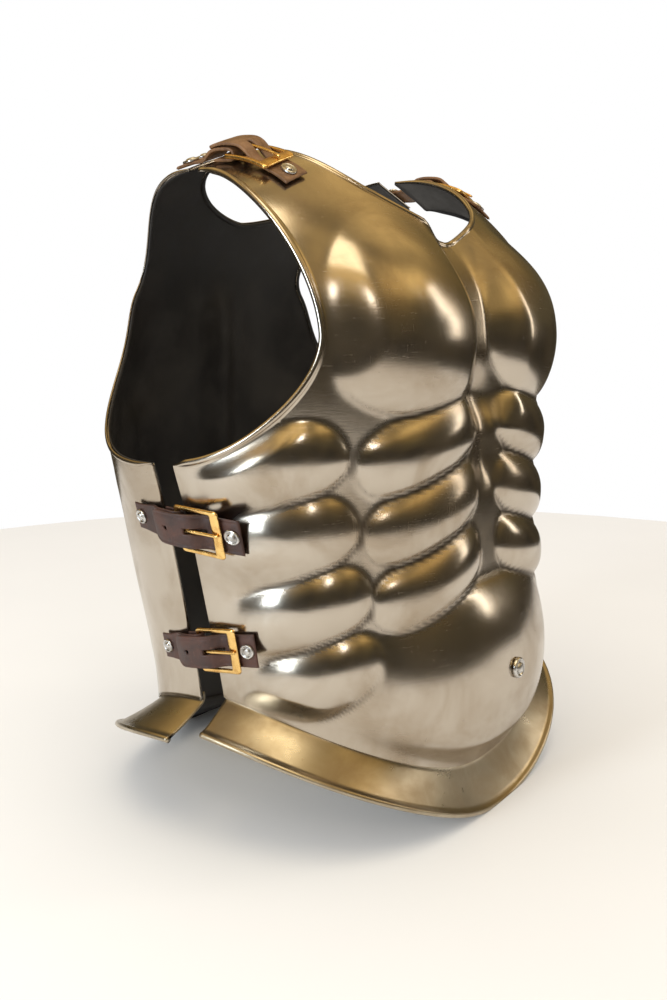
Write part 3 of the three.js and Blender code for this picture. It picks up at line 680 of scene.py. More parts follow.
def smooth_line(points, step):
    """Evenly spaced points on a smooth curve through the given (along, lift) points."""
    points = np.asarray(points, float)
    knots = np.concatenate([[0], np.cumsum(np.linalg.norm(np.diff(points, axis=0), axis=1) ** 0.75)])
    curves = [natural_spline(knots, points[:, k]) for k in range(2)]
    fine = np.linspace(0, knots[-1], 60 * len(points))
    path = np.stack([curve(fine) for curve in curves], axis=-1)
    walk = np.concatenate([[0], np.cumsum(np.linalg.norm(np.diff(path, axis=0), axis=1))])
    steps = max(2, int(round(walk[-1] / step)))
    at = np.linspace(0, walk[-1], steps + 1)
    return np.stack([np.interp(at, walk, path[:, k]) for k in range(2)], axis=-1), at


def arc(x, y, radius, start, end, steps):
    angles = np.radians(np.linspace(start, end, steps + 1))
    return [(x + radius * math.cos(a), y + radius * math.sin(a)) for a in angles]


def leather_strip(points, width_at, nominal, thickness, slot=None, holes=(), step=1.1):
    """A strip of leather: rounded edges, a creased line along each side, an optional long slot and
    round holes. points are (along, lift); width_at gives the half width for an array of distances
    from the strip's start and its whole length; slot is (from, to, half width) along the strap."""
    path, walk = smooth_line(points, step)
    length = walk[-1]
    tangent = unit(np.gradient(path, axis=0))
    normal = np.stack([-tangent[:, 1], tangent[:, 0]], axis=-1)
    inner = [0, 0.9, 1.8, 2.0, 2.4, 3.4, 5.0, 6.8]
    outer = [nominal - e for e in (3.0, 2.5, 2.1, 1.7, 1.1, 0.6, 0.3, 0.12, 0)]
    half = [a for a in inner if a < outer[0] - 0.8] + outer
    columns = np.array([-a for a in half[:0:-1]] + half)
    half_width = width_at(walk, length)
    ends = np.minimum(walk, length - walk)
    S = np.repeat(walk[:, None], len(columns), axis=1)
    A = columns[None] * (half_width / nominal)[:, None]
    edge = np.minimum(half_width[:, None] - np.abs(A), ends[:, None])
    open_cell = np.zeros((len(walk) - 1, len(columns) - 1), bool)
    if slot:
        low, high, half_slot = slot
        within = (path[:, 0] > low) & (path[:, 0] < high)
        rows = np.flatnonzero(within)
        first, last = rows[0], rows[-1]
        inside = np.abs(columns) <= half_slot + 1e-6
        keep = np.flatnonzero(inside)
        open_cell[first:last, keep[0]:keep[-1]] = True
        away = np.maximum(np.maximum(walk[first] - S, S - walk[last]), np.abs(A) - half_slot)
        edge = np.minimum(edge, np.maximum(away, 0))
    for along_at, radius in holes:
        row = int(np.argmin(np.abs(path[:, 0] - along_at)))
        middle = len(columns) // 2
        open_cell[row - 1:row + 1, middle - 1:middle + 1] = True
        for dr in (-1, 0, 1):
            for dc in (-1, 0, 1):
                if dr or dc:
                    reach = math.hypot(dr, dc)
                    S[row + dr, middle + dc] = walk[row] + radius * dr / reach
                    A[row + dr, middle + dc] = radius * dc / reach
        away = np.hypot(S - walk[row], A) - radius
        edge = np.minimum(edge, np.maximum(away, 0))
    rounding = 0.75
    flatness = 1 - np.clip(edge / rounding, 0, 1)
    thick = thickness / 2 * np.sqrt(np.maximum(1 - flatness ** 2, 0))
    crease = 0.28 * np.exp(-((half_width[:, None] - np.abs(A) - 2.3) / 0.34) ** 2)
    crease = crease * smoothstep(1.0, 2.5, ends)[:, None]
    at = [np.interp(S, walk, path[:, k]) for k in range(2)]
    lean = [np.interp(S, walk, normal[:, k]) for k in range(2)]
    shell = Shell()
    values = np.stack([S / MM, A / MM], axis=-1)
    for way in (1, -1):
        off = thick - (crease if way > 0 else 0)
        sheet = np.stack([at[0] + way * lean[0] * off, A, at[1] + way * lean[1] * off], axis=-1)
        quads = cells(sheet, way < 0).reshape(-1, 4, 3)
        kept = ~open_cell.ravel()
        shell.add(quads[kept], 0, cells(values, way < 0).reshape(-1, 4, 2)[kept])
    return shell


def bar_levels(sizes):
    """Lift of the heel bar's middle and radius of the leather folded round it."""
    leather, depth, heel_bar = sizes.leather * MM, sizes.buckle_depth * MM, sizes.heel_bar * MM
    lift = CLEARANCE + leather + GAP + depth / 2 + 0.4
    half = math.hypot(heel_bar, depth) / 2
    return lift, half, half + GAP + leather / 2


def chape_strip(heel, end, sizes):
    """Back strap: folded round the buckle's heel bar, with the prong's slot in the fold."""
    leather = sizes.leather * MM
    lift, _, loop = bar_levels(sizes)
    flat = CLEARANCE + leather / 2
    points = [
        (end, flat), (end - 8, flat), (mix(end, heel + 25, 0.6), flat + 0.1), (heel + 25, flat + 0.6),
        (heel + 17, lift + loop - 1.6), (heel + 9, lift + loop),
        *arc(heel, lift, loop, 90, 270, 8),
        (heel + 8, lift - loop), (heel + 14, lift - loop),
    ]
    wide, narrow = sizes.chape_width * MM / 2, sizes.chape_end_width * MM / 2
    taper_length = end - 6 - (heel + 14)

    def width_at(walk, length):
        return mix(narrow, wide, smoothstep(6, 6 + taper_length, walk))

    slot = (heel - 9, heel + 5, 1.8)
    return leather_strip(points, width_at, wide, leather, slot)


def billet_strip(heel, front, tail, sizes):
    """Front strap: up through the frame and over the heel bar, to a rounded tail."""
    leather = sizes.leather * MM
    lift, _, loop = bar_levels(sizes)
    bar = heel - sizes.buckle_length * MM
    over = lift + loop + leather + GAP + 1
    flat = CLEARANCE + leather / 2
    points = [
        (front, flat), (mix(front, bar, 0.5), flat), (bar + 4, flat), (bar + 11, flat + 1.6),
        (heel - 13.5, mix(flat, over, 0.64)), (heel - 8, over - 0.6), (heel - 1, over),
        (heel + 10, over - 0.6), (tail, over - 3),
    ]
    wide = sizes.billet_width * MM / 2

    def width_at(walk, length):
        tip = np.clip((length - walk) / 7.0, 0, 1)
        return wide * (0.42 + 0.58 * np.sqrt(1 - (1 - tip) ** 2))

    slot = (heel - 21.3, heel - 7.9, 1.8)
    return leather_strip(points, width_at, wide, leather, slot, holes=[(heel + 7, 1.15)])


def frame_shell(heel, sizes):
    """Cast buckle frame: bars of different widths with rounded faces."""
    across, length = sizes.buckle_across * MM, sizes.buckle_length * MM
    side_bar, front_bar, heel_bar = (v * MM for v in (sizes.side_bar, sizes.front_bar, sizes.heel_bar))
    depth = sizes.buckle_depth * MM
    lift, _, _ = bar_levels(sizes)
    front = heel - length
    outer = rounded_ring(front - front_bar / 2, heel + heel_bar / 2, across / 2, 2.6)
    inner = rounded_ring(front + front_bar / 2, heel - heel_bar / 2, across / 2 - side_bar, 1.0)
    middle, half = (outer + inner) / 2, (outer - inner) / 2
    sweep = np.linspace(0, 2 * math.pi, 21)[:-1]
    power = 2 / 2.9
    cosine = np.sign(np.cos(sweep)) * np.abs(np.cos(sweep)) ** power
    sine = np.sign(np.sin(sweep)) * np.abs(np.sin(sweep)) ** power
    ring = middle[:, None] + half[:, None] * cosine[None, :, None]
    level = lift + depth / 2 * sine
    points = np.concatenate([ring, np.broadcast_to(level[None, :, None], ring.shape[:2] + (1,))], axis=-1)
    points = np.concatenate([points, points[:1]])
    shell = Shell()
    shell.grid(points, 0, closed=True)
    return shell


def rounded_ring(left, right, half, radius, corner=6, side=8):
    """Corner points of a rounded rectangle, the same number for any size."""
    points = []
    corners = [(right - radius, half - radius, 0), (left + radius, half - radius, 90),
               (left + radius, radius - half, 180), (right - radius, radius - half, 270)]
    for k, (x, y, start) in enumerate(corners):
        points += arc(x, y, radius, start, start + 90, corner)
        nx, ny, begin = corners[(k + 1) % 4]
        first = points[-1]
        last = (nx + radius * math.cos(math.radians(begin)), ny + radius * math.sin(math.radians(begin)))
        points += [(mix(first[0], last[0], t), mix(first[1], last[1], t))
                   for t in np.linspace(0, 1, side + 1)[1:-1]]
    return np.array(points)


def prong_shell(heel, sizes):
    """The prong hooks round the heel bar and lies on the front bar."""
    width, thickness = sizes.prong_width * MM, 2.2
    lift, half, _ = bar_levels(sizes)
    front = heel - sizes.buckle_length * MM
    radius = half + GAP + thickness / 2
    on_bar = lift + sizes.buckle_depth * MM / 2 + GAP + thickness / 2
    points = [*arc(heel, lift, radius, -60, 110, 8), (heel - 7, lift + radius + 0.3),
              (heel - 12, lift + radius + 0.4), (front + 8, on_bar + 0.6), (front - 3, on_bar)]
    path, walk = smooth_line(points, 0.8)
    length = walk[-1]
    tangent = unit(np.gradient(path, axis=0))
    normal = np.stack([-tangent[:, 1], tangent[:, 0]], axis=-1)
    tip = np.minimum(np.clip((length - walk) / 1.6, 0, 1), np.clip(walk / 1.0, 0, 1))
    close = np.sqrt(np.maximum(1 - (1 - tip) ** 2, 0))
    scale = close * mix(1.0, 0.82, smoothstep(length * 0.5, length, walk))
    sweep = np.linspace(0, 2 * math.pi, 15)[:-1]
    side = np.cos(sweep) * width / 2
    up = np.sin(sweep) * thickness / 2
    points = np.stack([
        path[:, None, 0] + normal[:, None, 0] * up * scale[:, None],
        side * scale[:, None],
        path[:, None, 1] + normal[:, None, 1] * up * scale[:, None],
    ], axis=-1)
    shell = Shell()
    shell.grid(points, 0, closed=True)
    return shell


def stud_shell(radius, rise, sides=36):
    """Rivet head: a domed stud inside a raised ring."""
    profile = [(0, 0), (1.0, 0), (1.0, 0.22), (0.975, 0.44), (0.91, 0.6), (0.82, 0.64), (0.73, 0.57),
               (0.66, 0.42), (0.62, 0.34), (0.57, 0.33), (0.54, 0.42), (0.52, 0.62), (0.45, 0.82),
               (0.33, 0.94), (0.17, 0.99), (0, 1.0)]
    r = np.array([p[0] for p in profile]) * radius
    z = np.array([p[1] for p in profile]) * rise
    angle = np.linspace(0, 2 * math.pi, sides + 1)[:-1]
    points = np.stack([
        r[:, None] * np.cos(angle), r[:, None] * np.sin(angle), np.broadcast_to(z[:, None], (len(r), sides)),
    ], axis=-1)
    shell = Shell()
    shell.grid(points, 0, closed=True)
    return shell


def moved_by(shell, offset):
    offset = np.asarray(offset, float)
    return bent(shell, lambda points: points + offset)


def strap_places(sizes):
    """(name, place, layout) of each of the six straps."""
    half_width = sizes.billet_width * MM / 2
    for side_name, side in (("right", -1), ("left", 1)):
        for name, height, slope, heel in SIDE_STRAPS:
            layout = SimpleNamespace(heel=heel, front=heel - 46, tail=heel + 19.2, end=38.0,
                                     billet_rivets=[(heel - 39.5, 0)], chape_rivets=[(31.5, 0)])
            yield f"{side_name}_{name}", side_place(side, height, slope, half_width), layout
        heel = SHOULDER_HEEL
        layout = SimpleNamespace(heel=heel, front=heel - 47, tail=heel + 19.2, end=27.0,
                                 billet_rivets=[(heel - 40, 0)],
                                 chape_rivets=[(13, -6.5), (21, 0), (13, 6.5)])
        yield f"{side_name}_shoulder", shoulder_place(side), layout


# ---------------------------------------------------------------- materials

RANGE_SOCKETS = ("From Min", "From Max", "To Min", "To Max")


class Finish:
    """Builds one node material."""

    def __init__(self, name):
        self.material = bpy.data.materials.new(name)
        self.material.use_nodes = True
        self.tree = self.material.node_tree
        self.tree.nodes.clear()
        self.output = self.tree.nodes.new("ShaderNodeOutputMaterial")
        self.shader = self.tree.nodes.new("ShaderNodeBsdfPrincipled")
        self.link(self.shader.outputs[0], self.output.inputs["Surface"])
        self.place = self.tree.nodes.new("ShaderNodeTexCoord")
        self.bump_from = None

    def link(self, source, target):
        self.tree.links.new(source, target)

    def set(self, **values):
        for name, value in values.items():
            self.shader.inputs[name.replace("_", " ").title()].default_value = value

    def noise(self, scale, detail=4.0, roughness=0.55, distortion=0.0, stretch=(1, 1, 1), turn=(0, 0, 0)):
        mapping = self.tree.nodes.new("ShaderNodeMapping")
        mapping.inputs["Scale"].default_value = stretch
        mapping.inputs["Rotation"].default_value = turn
        self.link(self.place.outputs["Object"], mapping.inputs["Vector"])
        noise = self.tree.nodes.new("ShaderNodeTexNoise")
        noise.inputs["Scale"].default_value = scale
        noise.inputs["Detail"].default_value = detail
        noise.inputs["Roughness"].default_value = roughness
        noise.inputs["Distortion"].default_value = distortion
        self.link(mapping.outputs[0], noise.inputs["Vector"])
        return noise.outputs["Fac"]

    def cells(self, scale, feature="DISTANCE_TO_EDGE", randomness=1.0):
        voronoi = self.tree.nodes.new("ShaderNodeTexVoronoi")
        voronoi.feature = feature
        voronoi.inputs["Scale"].default_value = scale
        voronoi.inputs["Randomness"].default_value = randomness
        self.link(self.place.outputs["Object"], voronoi.inputs["Vector"])
        return voronoi.outputs["Distance"]

    def kept_value(self, layer):
        """The first number kept at the mesh's corners."""
        corners = self.tree.nodes.new("ShaderNodeUVMap")
        corners.uv_map = layer
        split = self.tree.nodes.new("ShaderNodeSeparateXYZ")
        self.link(corners.outputs[0], split.inputs[0])
        return split.outputs["X"]

    def range(self, value, low, high, to_low=0.0, to_high=1.0):
        node = self.tree.nodes.new("ShaderNodeMapRange")
        node.interpolation_type = "SMOOTHSTEP"
        for socket, number in zip(RANGE_SOCKETS, (low, high, to_low, to_high)):
            node.inputs[socket].default_value = number
        self.link(value, node.inputs["Value"])
        return node.outputs["Result"]

    def math(self, operation, a, b):
        node = self.tree.nodes.new("ShaderNodeMath")
        node.operation = operation
        for socket, value in zip(node.inputs, (a, b)):
            if isinstance(value, (int, float)):
                socket.default_value = value
            else:
                self.link(value, socket)
        return node.outputs[0]

    def blend(self, share, a, b, kind="MIX"):
        node = self.tree.nodes.new("ShaderNodeMix")
        node.data_type = "RGBA"
        node.blend_type = kind
        for socket, value in zip((node.inputs[0], node.inputs[6], node.inputs[7]), (share, a, b)):
            if isinstance(value, bpy.types.NodeSocket):
                self.link(value, socket)
            elif isinstance(value, (int, float)):
                socket.default_value = value
            else:
                socket.default_value = tuple(value)
        return node.outputs[2]

    def bump(self, height, distance, strength=1.0):
        node = self.tree.nodes.new("ShaderNodeBump")
        node.inputs["Strength"].default_value = strength
        node.inputs["Distance"].default_value = distance
        self.link(height, node.inputs["Height"])
        if self.bump_from is not None:
            self.link(self.bump_from, node.inputs["Normal"])
        self.bump_from = node.outputs["Normal"]

    def done(self, colour, roughness):
        self.link(colour, self.shader.inputs["Base Color"])
        self.link(roughness, self.shader.inputs["Roughness"])
        if self.bump_from is not None:
            self.link(self.bump_from, self.shader.inputs["Normal"])
        return self.material


def finish_named(name, make):
    return bpy.data.materials.get(name) or make()


def polished_steel(colours):
    """Hand-polished steel: slow hammer waves, fine scratches, faint straw tarnish and smudges, with painted
    shade darkening the creases.
    """
    f = Finish("polished_steel")
    f.set(metallic=1.0)
    waves = f.noise(9.0, 2.0, 0.4)
    smudge = f.noise(16.0, 5.0, 0.6, 0.6)
    speck = f.noise(420.0, 3.0, 0.6)
    scratch = f.noise(60.0, 6.0, 0.75, 0.2, stretch=(1.0, 1.0, 14.0), turn=(0.3, 0.5, 0.2))
    scratch2 = f.noise(60.0, 6.0, 0.75, 0.2, stretch=(14.0, 1.0, 1.0), turn=(-0.4, 0.2, 0.7))
    colour = f.blend(f.range(smudge, 0.35, 0.75), colours.steel, colours.steel_tarnish)
    colour = f.blend(f.range(speck, 0.68, 0.78, 0.0, 0.35), colour, colours.steel_tarnish)
    # Painted shade: the creases are darkened towards a near-black colour by their depth, and made rougher
    # too.
    painted_crease_shade = f.kept_value("flat")
    colour = f.blend(f.math("MULTIPLY", painted_crease_shade, f.range(smudge, 0.2, 0.6, 0.75, 0.95)), colour, colours.painted_crease_shade)
    rough = f.range(smudge, 0.3, 0.75, 0.17, 0.27)
    rough = f.math("ADD", rough, f.math("MULTIPLY", painted_crease_shade, 0.25))
    rough = f.math("ADD", rough, f.range(scratch, 0.55, 0.8, 0.0, 0.12))
    rough = f.math("ADD", rough, f.range(scratch2, 0.58, 0.8, 0.0, 0.10))
    f.bump(waves, 0.0035, 0.35)
    f.bump(scratch, 0.00012, 0.25)
    f.bump(scratch2, 0.00012, 0.2)
    return f.done(colour, rough)


def satin_steel(colours):
    """Flange steel, brushed along its length and less polished."""
    f = Finish("satin_steel")
    f.set(metallic=1.0)
    smudge = f.noise(22.0, 5.0, 0.6, 0.5)
    brush = f.noise(90.0, 6.0, 0.8, 0.0, stretch=(1.0, 1.0, 12.0))
    colour = f.blend(f.range(smudge, 0.3, 0.75), colours.flange, colours.flange_tarnish)
    rough = f.range(smudge, 0.3, 0.75, 0.26, 0.40)
    rough = f.math("ADD", rough, f.range(brush, 0.5, 0.8, 0.0, 0.12))
    f.bump(f.noise(14.0, 2.0, 0.4), 0.003, 0.3)
    f.bump(brush, 0.00015, 0.3)
    return f.done(colour, rough)


def black_paint(colours):
    """Matt black paint inside the plates, slightly uneven."""
    f = Finish("black_paint")
    patch = f.noise(30.0, 6.0, 0.65)
    grain = f.noise(900.0, 3.0, 0.6)
    colour = f.blend(f.range(patch, 0.35, 0.75), colours.paint, colours.paint_worn)
    rough = f.range(patch, 0.3, 0.7, 0.5, 0.68)
    f.bump(grain, 0.00015, 0.5)
    f.bump(patch, 0.0008, 0.3)
    return f.done(colour, rough)


def leather_finish(name, base, dark, light):
    """Vegetable-tanned leather with pebble grain, scuffs and darkened creases."""
    f = Finish(name)
    patch = f.noise(60.0, 6.0, 0.65, 0.4)
    scuff = f.noise(240.0, 5.0, 0.7, 0.8, stretch=(1.0, 2.5, 1.0))
    pores = f.cells(900.0)
    colour = f.blend(f.range(patch, 0.3, 0.72), dark, base)
    colour = f.blend(f.range(scuff, 0.56, 0.78, 0.0, 0.7), colour, light)
    colour = f.blend(f.range(pores, 0.0, 0.12, 0.45, 0.0), colour, dark)
    rough = f.range(patch, 0.3, 0.75, 0.42, 0.62)
    f.bump(pores, 0.0003, 0.5)
    f.bump(scuff, 0.0005, 0.4)
    return f.done(colour, rough)


def brass_finish(colours):
    """Cast brass, bright where it rubs and browner in patches."""
    f = Finish("cast_brass")
    f.set(metallic=1.0)
    patch = f.noise(130.0, 5.0, 0.6, 0.4)
    fine = f.noise(900.0, 4.0, 0.7)
    colour = f.blend(f.range(patch, 0.38, 0.72), colours.brass, colours.brass_tarnish)
    rough = f.math("ADD", f.range(patch, 0.3, 0.7, 0.16, 0.3), f.range(fine, 0.5, 0.8, 0.0, 0.1))
    f.bump(patch, 0.0009, 0.35)
    f.bump(fine, 0.0001, 0.3)
    return f.done(colour, rough)


def nickel_finish(colours):
    """Plated rivets, dulled in random patches."""
    f = Finish("plated_nickel")
    f.set(metallic=1.0)
    patch = f.noise(220.0, 5.0, 0.6, 0.4)
    colour = f.blend(f.range(patch, 0.35, 0.75), colours.nickel, colours.nickel_dull)
    rough = f.range(patch, 0.3, 0.7, 0.2, 0.4)
    f.bump(patch, 0.0004, 0.3)
    return f.done(colour, rough)


# ---------------------------------------------------------------- settings

def colour_property(name, description, rgb):
    return bpy.props.FloatVectorProperty(name=name, description=description, subtype="COLOR", size=4,
                                         min=0.0, max=1.0, default=(*rgb, 1.0))


def length_property(name, description, metres):
    return bpy.props.FloatProperty(name=name, description=description, default=metres, min=0.0001,
                                   unit="LENGTH", precision=4)


class CuirassSizes(bpy.types.PropertyGroup):
    """Sizes that a maker may change."""
    sheet: length_property("Sheet", "Thickness of the steel sheet", 0.0014)
    bead_radius: length_property("Bead radius", "Radius of the rolled rims", 0.0023)
    leather: length_property("Leather", "Thickness of the straps", 0.0022)
    billet_width: length_property("Billet width", "Width of the front straps", 0.024)
    chape_width: length_property("Chape width", "Width of the back straps at the buckle", 0.025)
    chape_end_width: length_property("Chape end width", "Width of the back straps at the rivet", 0.019)
    buckle_across: length_property("Buckle across", "Buckle frame across the strap", 0.033)
    buckle_length: length_property("Buckle length", "From the heel bar to the front bar", 0.030)
    side_bar: length_property("Side bar", "Width of the frame's side bars", 0.0034)
    front_bar: length_property("Front bar", "Width of the bar that the prong rests on", 0.007)
    heel_bar: length_property("Heel bar", "Width of the bar inside the folded strap", 0.0032)
    buckle_depth: length_property("Buckle depth", "Thickness of the frame", 0.003)
    prong_width: length_property("Prong width", "Width of the prong", 0.0028)
    rivet_radius: length_property("Rivet radius", "Radius of a strap rivet's head", 0.0052)
    rivet_rise: length_property("Rivet rise", "Height of a strap rivet's head", 0.0024)
    navel_radius: length_property("Navel radius", "Radius of the navel stud", 0.008)
    navel_rise: length_property("Navel rise", "Height of the navel stud", 0.0042)


class CuirassColours(bpy.types.PropertyGroup):
    """Colours that a maker may change."""
    steel: colour_property("Steel", "Clean polished steel", (0.53, 0.47, 0.395))
    steel_tarnish: colour_property("Steel tarnish", "Straw-tarnished steel", (0.38, 0.31, 0.23))
    # Painted shade: the near-black colour that darkens the steel in its creases.
    painted_crease_shade: colour_property("Crease shade", "Polish and dirt left in the creases", (0.055, 0.042, 0.030))
    flange: colour_property("Flange", "Brushed flange steel", (0.47, 0.41, 0.31))
    flange_tarnish: colour_property("Flange tarnish", "Darker flange steel", (0.34, 0.27, 0.18))
    paint: colour_property("Paint", "Black paint inside", (0.012, 0.010, 0.009))
    paint_worn: colour_property("Worn paint", "Rubbed paint inside", (0.028, 0.024, 0.020))
    leather: colour_property("Leather", "Side straps", (0.085, 0.032, 0.020))
    leather_dark: colour_property("Dark leather", "Side straps in the creases", (0.030, 0.013, 0.010))
    leather_light: colour_property("Scuffed leather", "Side straps where they rub", (0.19, 0.085, 0.05))
    tan: colour_property("Tan", "Shoulder straps", (0.26, 0.125, 0.045))
    tan_dark: colour_property("Dark tan", "Shoulder straps in the creases", (0.10, 0.045, 0.018))
    tan_light: colour_property("Scuffed tan", "Shoulder straps where they rub", (0.42, 0.25, 0.11))
    brass: colour_property("Brass", "Bright brass", (0.90, 0.60, 0.22))
    brass_tarnish: colour_property("Brass tarnish", "Browner brass", (0.66, 0.38, 0.12))
    nickel: colour_property("Nickel", "Plated rivets", (0.66, 0.65, 0.63))
    nickel_dull: colour_property("Dull nickel", "Rivets in the groove", (0.34, 0.32, 0.30))
    floor: colour_property("Floor", "Studio floor", (0.80, 0.77, 0.73))


# ---------------------------------------------------------------- operators

class CuirassOperator:
    """What every maker of pieces here shares."""
    bl_options = {"REGISTER", "UNDO"}

    @property
    def sizes(self):
        return bpy.context.scene.cuirass_sizes

    @property
    def colours(self):
        return bpy.context.scene.cuirass_colours

    def plate_finishes(self):
        return [finish_named("polished_steel", lambda: polished_steel(self.colours)),
                finish_named("black_paint", lambda: black_paint(self.colours))]


class CUIRASS_OT_breastplate(CuirassOperator, bpy.types.Operator):
    """Add the embossed breastplate"""
    bl_idname = "cuirass.breastplate"
    bl_label = "Breastplate"

    def execute(self, context):
        mesh = plate_mesh("breastplate_steel", BREAST, self.sizes)
        add_piece("breastplate_steel", mesh, self.plate_finishes(), ["breastplate"], "steel")
        return {"FINISHED"}


class CUIRASS_OT_backplate(CuirassOperator, bpy.types.Operator):
    """Add the embossed backplate"""
    bl_idname = "cuirass.backplate"
    bl_label = "Backplate"

    def execute(self, context):
        mesh = plate_mesh("backplate_steel", BACK, self.sizes)
        add_piece("backplate_steel", mesh, self.plate_finishes(), ["backplate"], "steel")
        return {"FINISHED"}


class CUIRASS_OT_flanges(CuirassOperator, bpy.types.Operator):
    """Add the flared flanges below both plates"""
    bl_idname = "cuirass.flanges"
    bl_label = "Flanges"

    def execute(self, context):
        finishes = [finish_named("satin_steel", lambda: satin_steel(self.colours)),
                    finish_named("black_paint", lambda: black_paint(self.colours))]
        for name, plate in (("breast_flange", BREAST), ("back_flange", BACK)):
            mesh = flange_mesh(f"{name}_steel", plate, self.sizes)
            add_piece(f"{name}_steel", mesh, finishes, [name], "flange")
        return {"FINISHED"}


class CUIRASS_OT_navel_stud(CuirassOperator, bpy.types.Operator):
    """Add the ringed stud at the navel"""
    bl_idname = "cuirass.navel_stud"
    bl_label = "Navel stud"

    def execute(self, context):
        turn, height = np.array([0.0]), np.array([NAVEL_HEIGHT])
        normal = embossed_normal(BREAST, turn, height)[0]
        seat = embossed_point(BREAST, turn, height)[0] + normal * 0.5
        side = unit(np.cross(np.array([0.0, 0.0, 1.0]), normal))
        up = np.cross(normal, side)
        stud = stud_shell(self.sizes.navel_radius * MM, self.sizes.navel_rise * MM, 48)
        placed = bent(stud, lambda p: seat + p[:, :1] * side + p[:, 1:2] * up + p[:, 2:] * normal)
        nickel = finish_named("plated_nickel", lambda: nickel_finish(self.colours))
        add_piece("navel_stud_ringed", placed.mesh("navel_stud_ringed"), [nickel], ["navel_stud"], "nickel")
        return {"FINISHED"}


class CUIRASS_OT_leather_straps(CuirassOperator, bpy.types.Operator):
    """Add the twelve leather straps of the sides and shoulders"""
    bl_idname = "cuirass.leather_straps"
    bl_label = "Leather straps"

    def execute(self, context):
        c = self.colours
        dark = leather_finish("dark_leather", c.leather, c.leather_dark, c.leather_light)
        tan = leather_finish("tan_leather", c.tan, c.tan_dark, c.tan_light)
        for name, place, layout in strap_places(self.sizes):
            finish, slot = (tan, "tan_leather") if name.endswith("shoulder") else (dark, "dark_leather")
            strips = {
                "chape": chape_strip(layout.heel, layout.end, self.sizes),
                "billet": billet_strip(layout.heel, layout.front, layout.tail, self.sizes),
            }
            for part, strip in strips.items():
                piece = f"{name}_{part}"
                mesh = bent(strip, place).mesh(f"{piece}_leather")
                add_piece(f"{piece}_leather", mesh, [finish], [piece], slot)
        return {"FINISHED"}


class CUIRASS_OT_buckles(CuirassOperator, bpy.types.Operator):
    """Add the six brass buckle frames and their prongs"""
    bl_idname = "cuirass.buckles"
    bl_label = "Buckles"

    def execute(self, context):
        brass = finish_named("cast_brass", lambda: brass_finish(self.colours))
        for name, place, layout in strap_places(self.sizes):
            shells = {
                "buckle_frame": frame_shell(layout.heel, self.sizes),
                "buckle_prong": prong_shell(layout.heel, self.sizes),
            }
            for part, shell in shells.items():
                mesh = bent(shell, place).mesh(f"{name}_{part}_brass")
                add_piece(f"{name}_{part}_brass", mesh, [brass], [f"{name}_{part}"], "brass")
        return {"FINISHED"}


class CUIRASS_OT_rivets(CuirassOperator, bpy.types.Operator):
    """Add the ringed rivets that hold the straps"""
    bl_idname = "cuirass.rivets"
    bl_label = "Strap rivets"

    def execute(self, context):
        nickel = finish_named("plated_nickel", lambda: nickel_finish(self.colours))
        lift = CLEARANCE + self.sizes.leather * MM + GAP
        stud = stud_shell(self.sizes.rivet_radius * MM, self.sizes.rivet_rise * MM)
        for name, place, layout in strap_places(self.sizes):
            rivets = {"billet_rivet": layout.billet_rivets, "chape_rivet": layout.chape_rivets}
            for kind, spots in rivets.items():
                for k, (along, across) in enumerate(spots, 1):
                    node = f"{name}_{kind}_{k}"
                    mesh = bent(moved_by(stud, (along, across, lift)), place).mesh(f"{node}_head")
                    add_piece(f"{node}_head", mesh, [nickel], [node], "nickel")
        return {"FINISHED"}


# What the polished steel mirrors, by the sine of the height above the horizon.
ROOM_GLOW = [
    (0.0, (0.045, 0.034, 0.018)),
    (0.25, (0.075, 0.058, 0.024)),
    (0.45, (0.26, 0.175, 0.055)),
    (0.66, (0.88, 0.60, 0.22)),
    (0.85, (0.55, 0.38, 0.15)),
    (1.0, (0.42, 0.30, 0.13)),
]
ROOM_BLOTCHES = SimpleNamespace(scale=3.2, detail=2.0, strength=(0.35, 0.65, 0.45, 1.5))

# Soft lamps: name, place and size in metres, watts and colour.
LAMPS = [
    ("warm_top", (-0.5, -0.4, 2.0), (1.2, 1.2), 11, (1.0, 0.86, 0.60)),
    ("cool_left", (-1.7, 0.30, 0.60), (0.40, 0.8), 17, (0.76, 0.88, 1.0)),
    ("front_soft", (-1.3, -1.9, 1.5), (0.25, 0.35), 2.5, (1.0, 0.95, 0.88)),
    ("right_soft", (1.5, -1.4, 1.0), (0.3, 1.2), 4, (1.0, 0.92, 0.80)),
]
LAMPS_FACE = Vector((0, 0, 0.25))

# The camera's place in metres, its angles in degrees, and its lens in millimetres.
CAMERA = SimpleNamespace(place=(-0.6344, -0.4663, 0.3599), azimuth=-52.82, pitch=10.09, roll=-0.52,
                         lens=34.5, sensor=36.0, near=0.01)
FLOOR = SimpleNamespace(radius=1.15, level=-0.0003, corners=64)


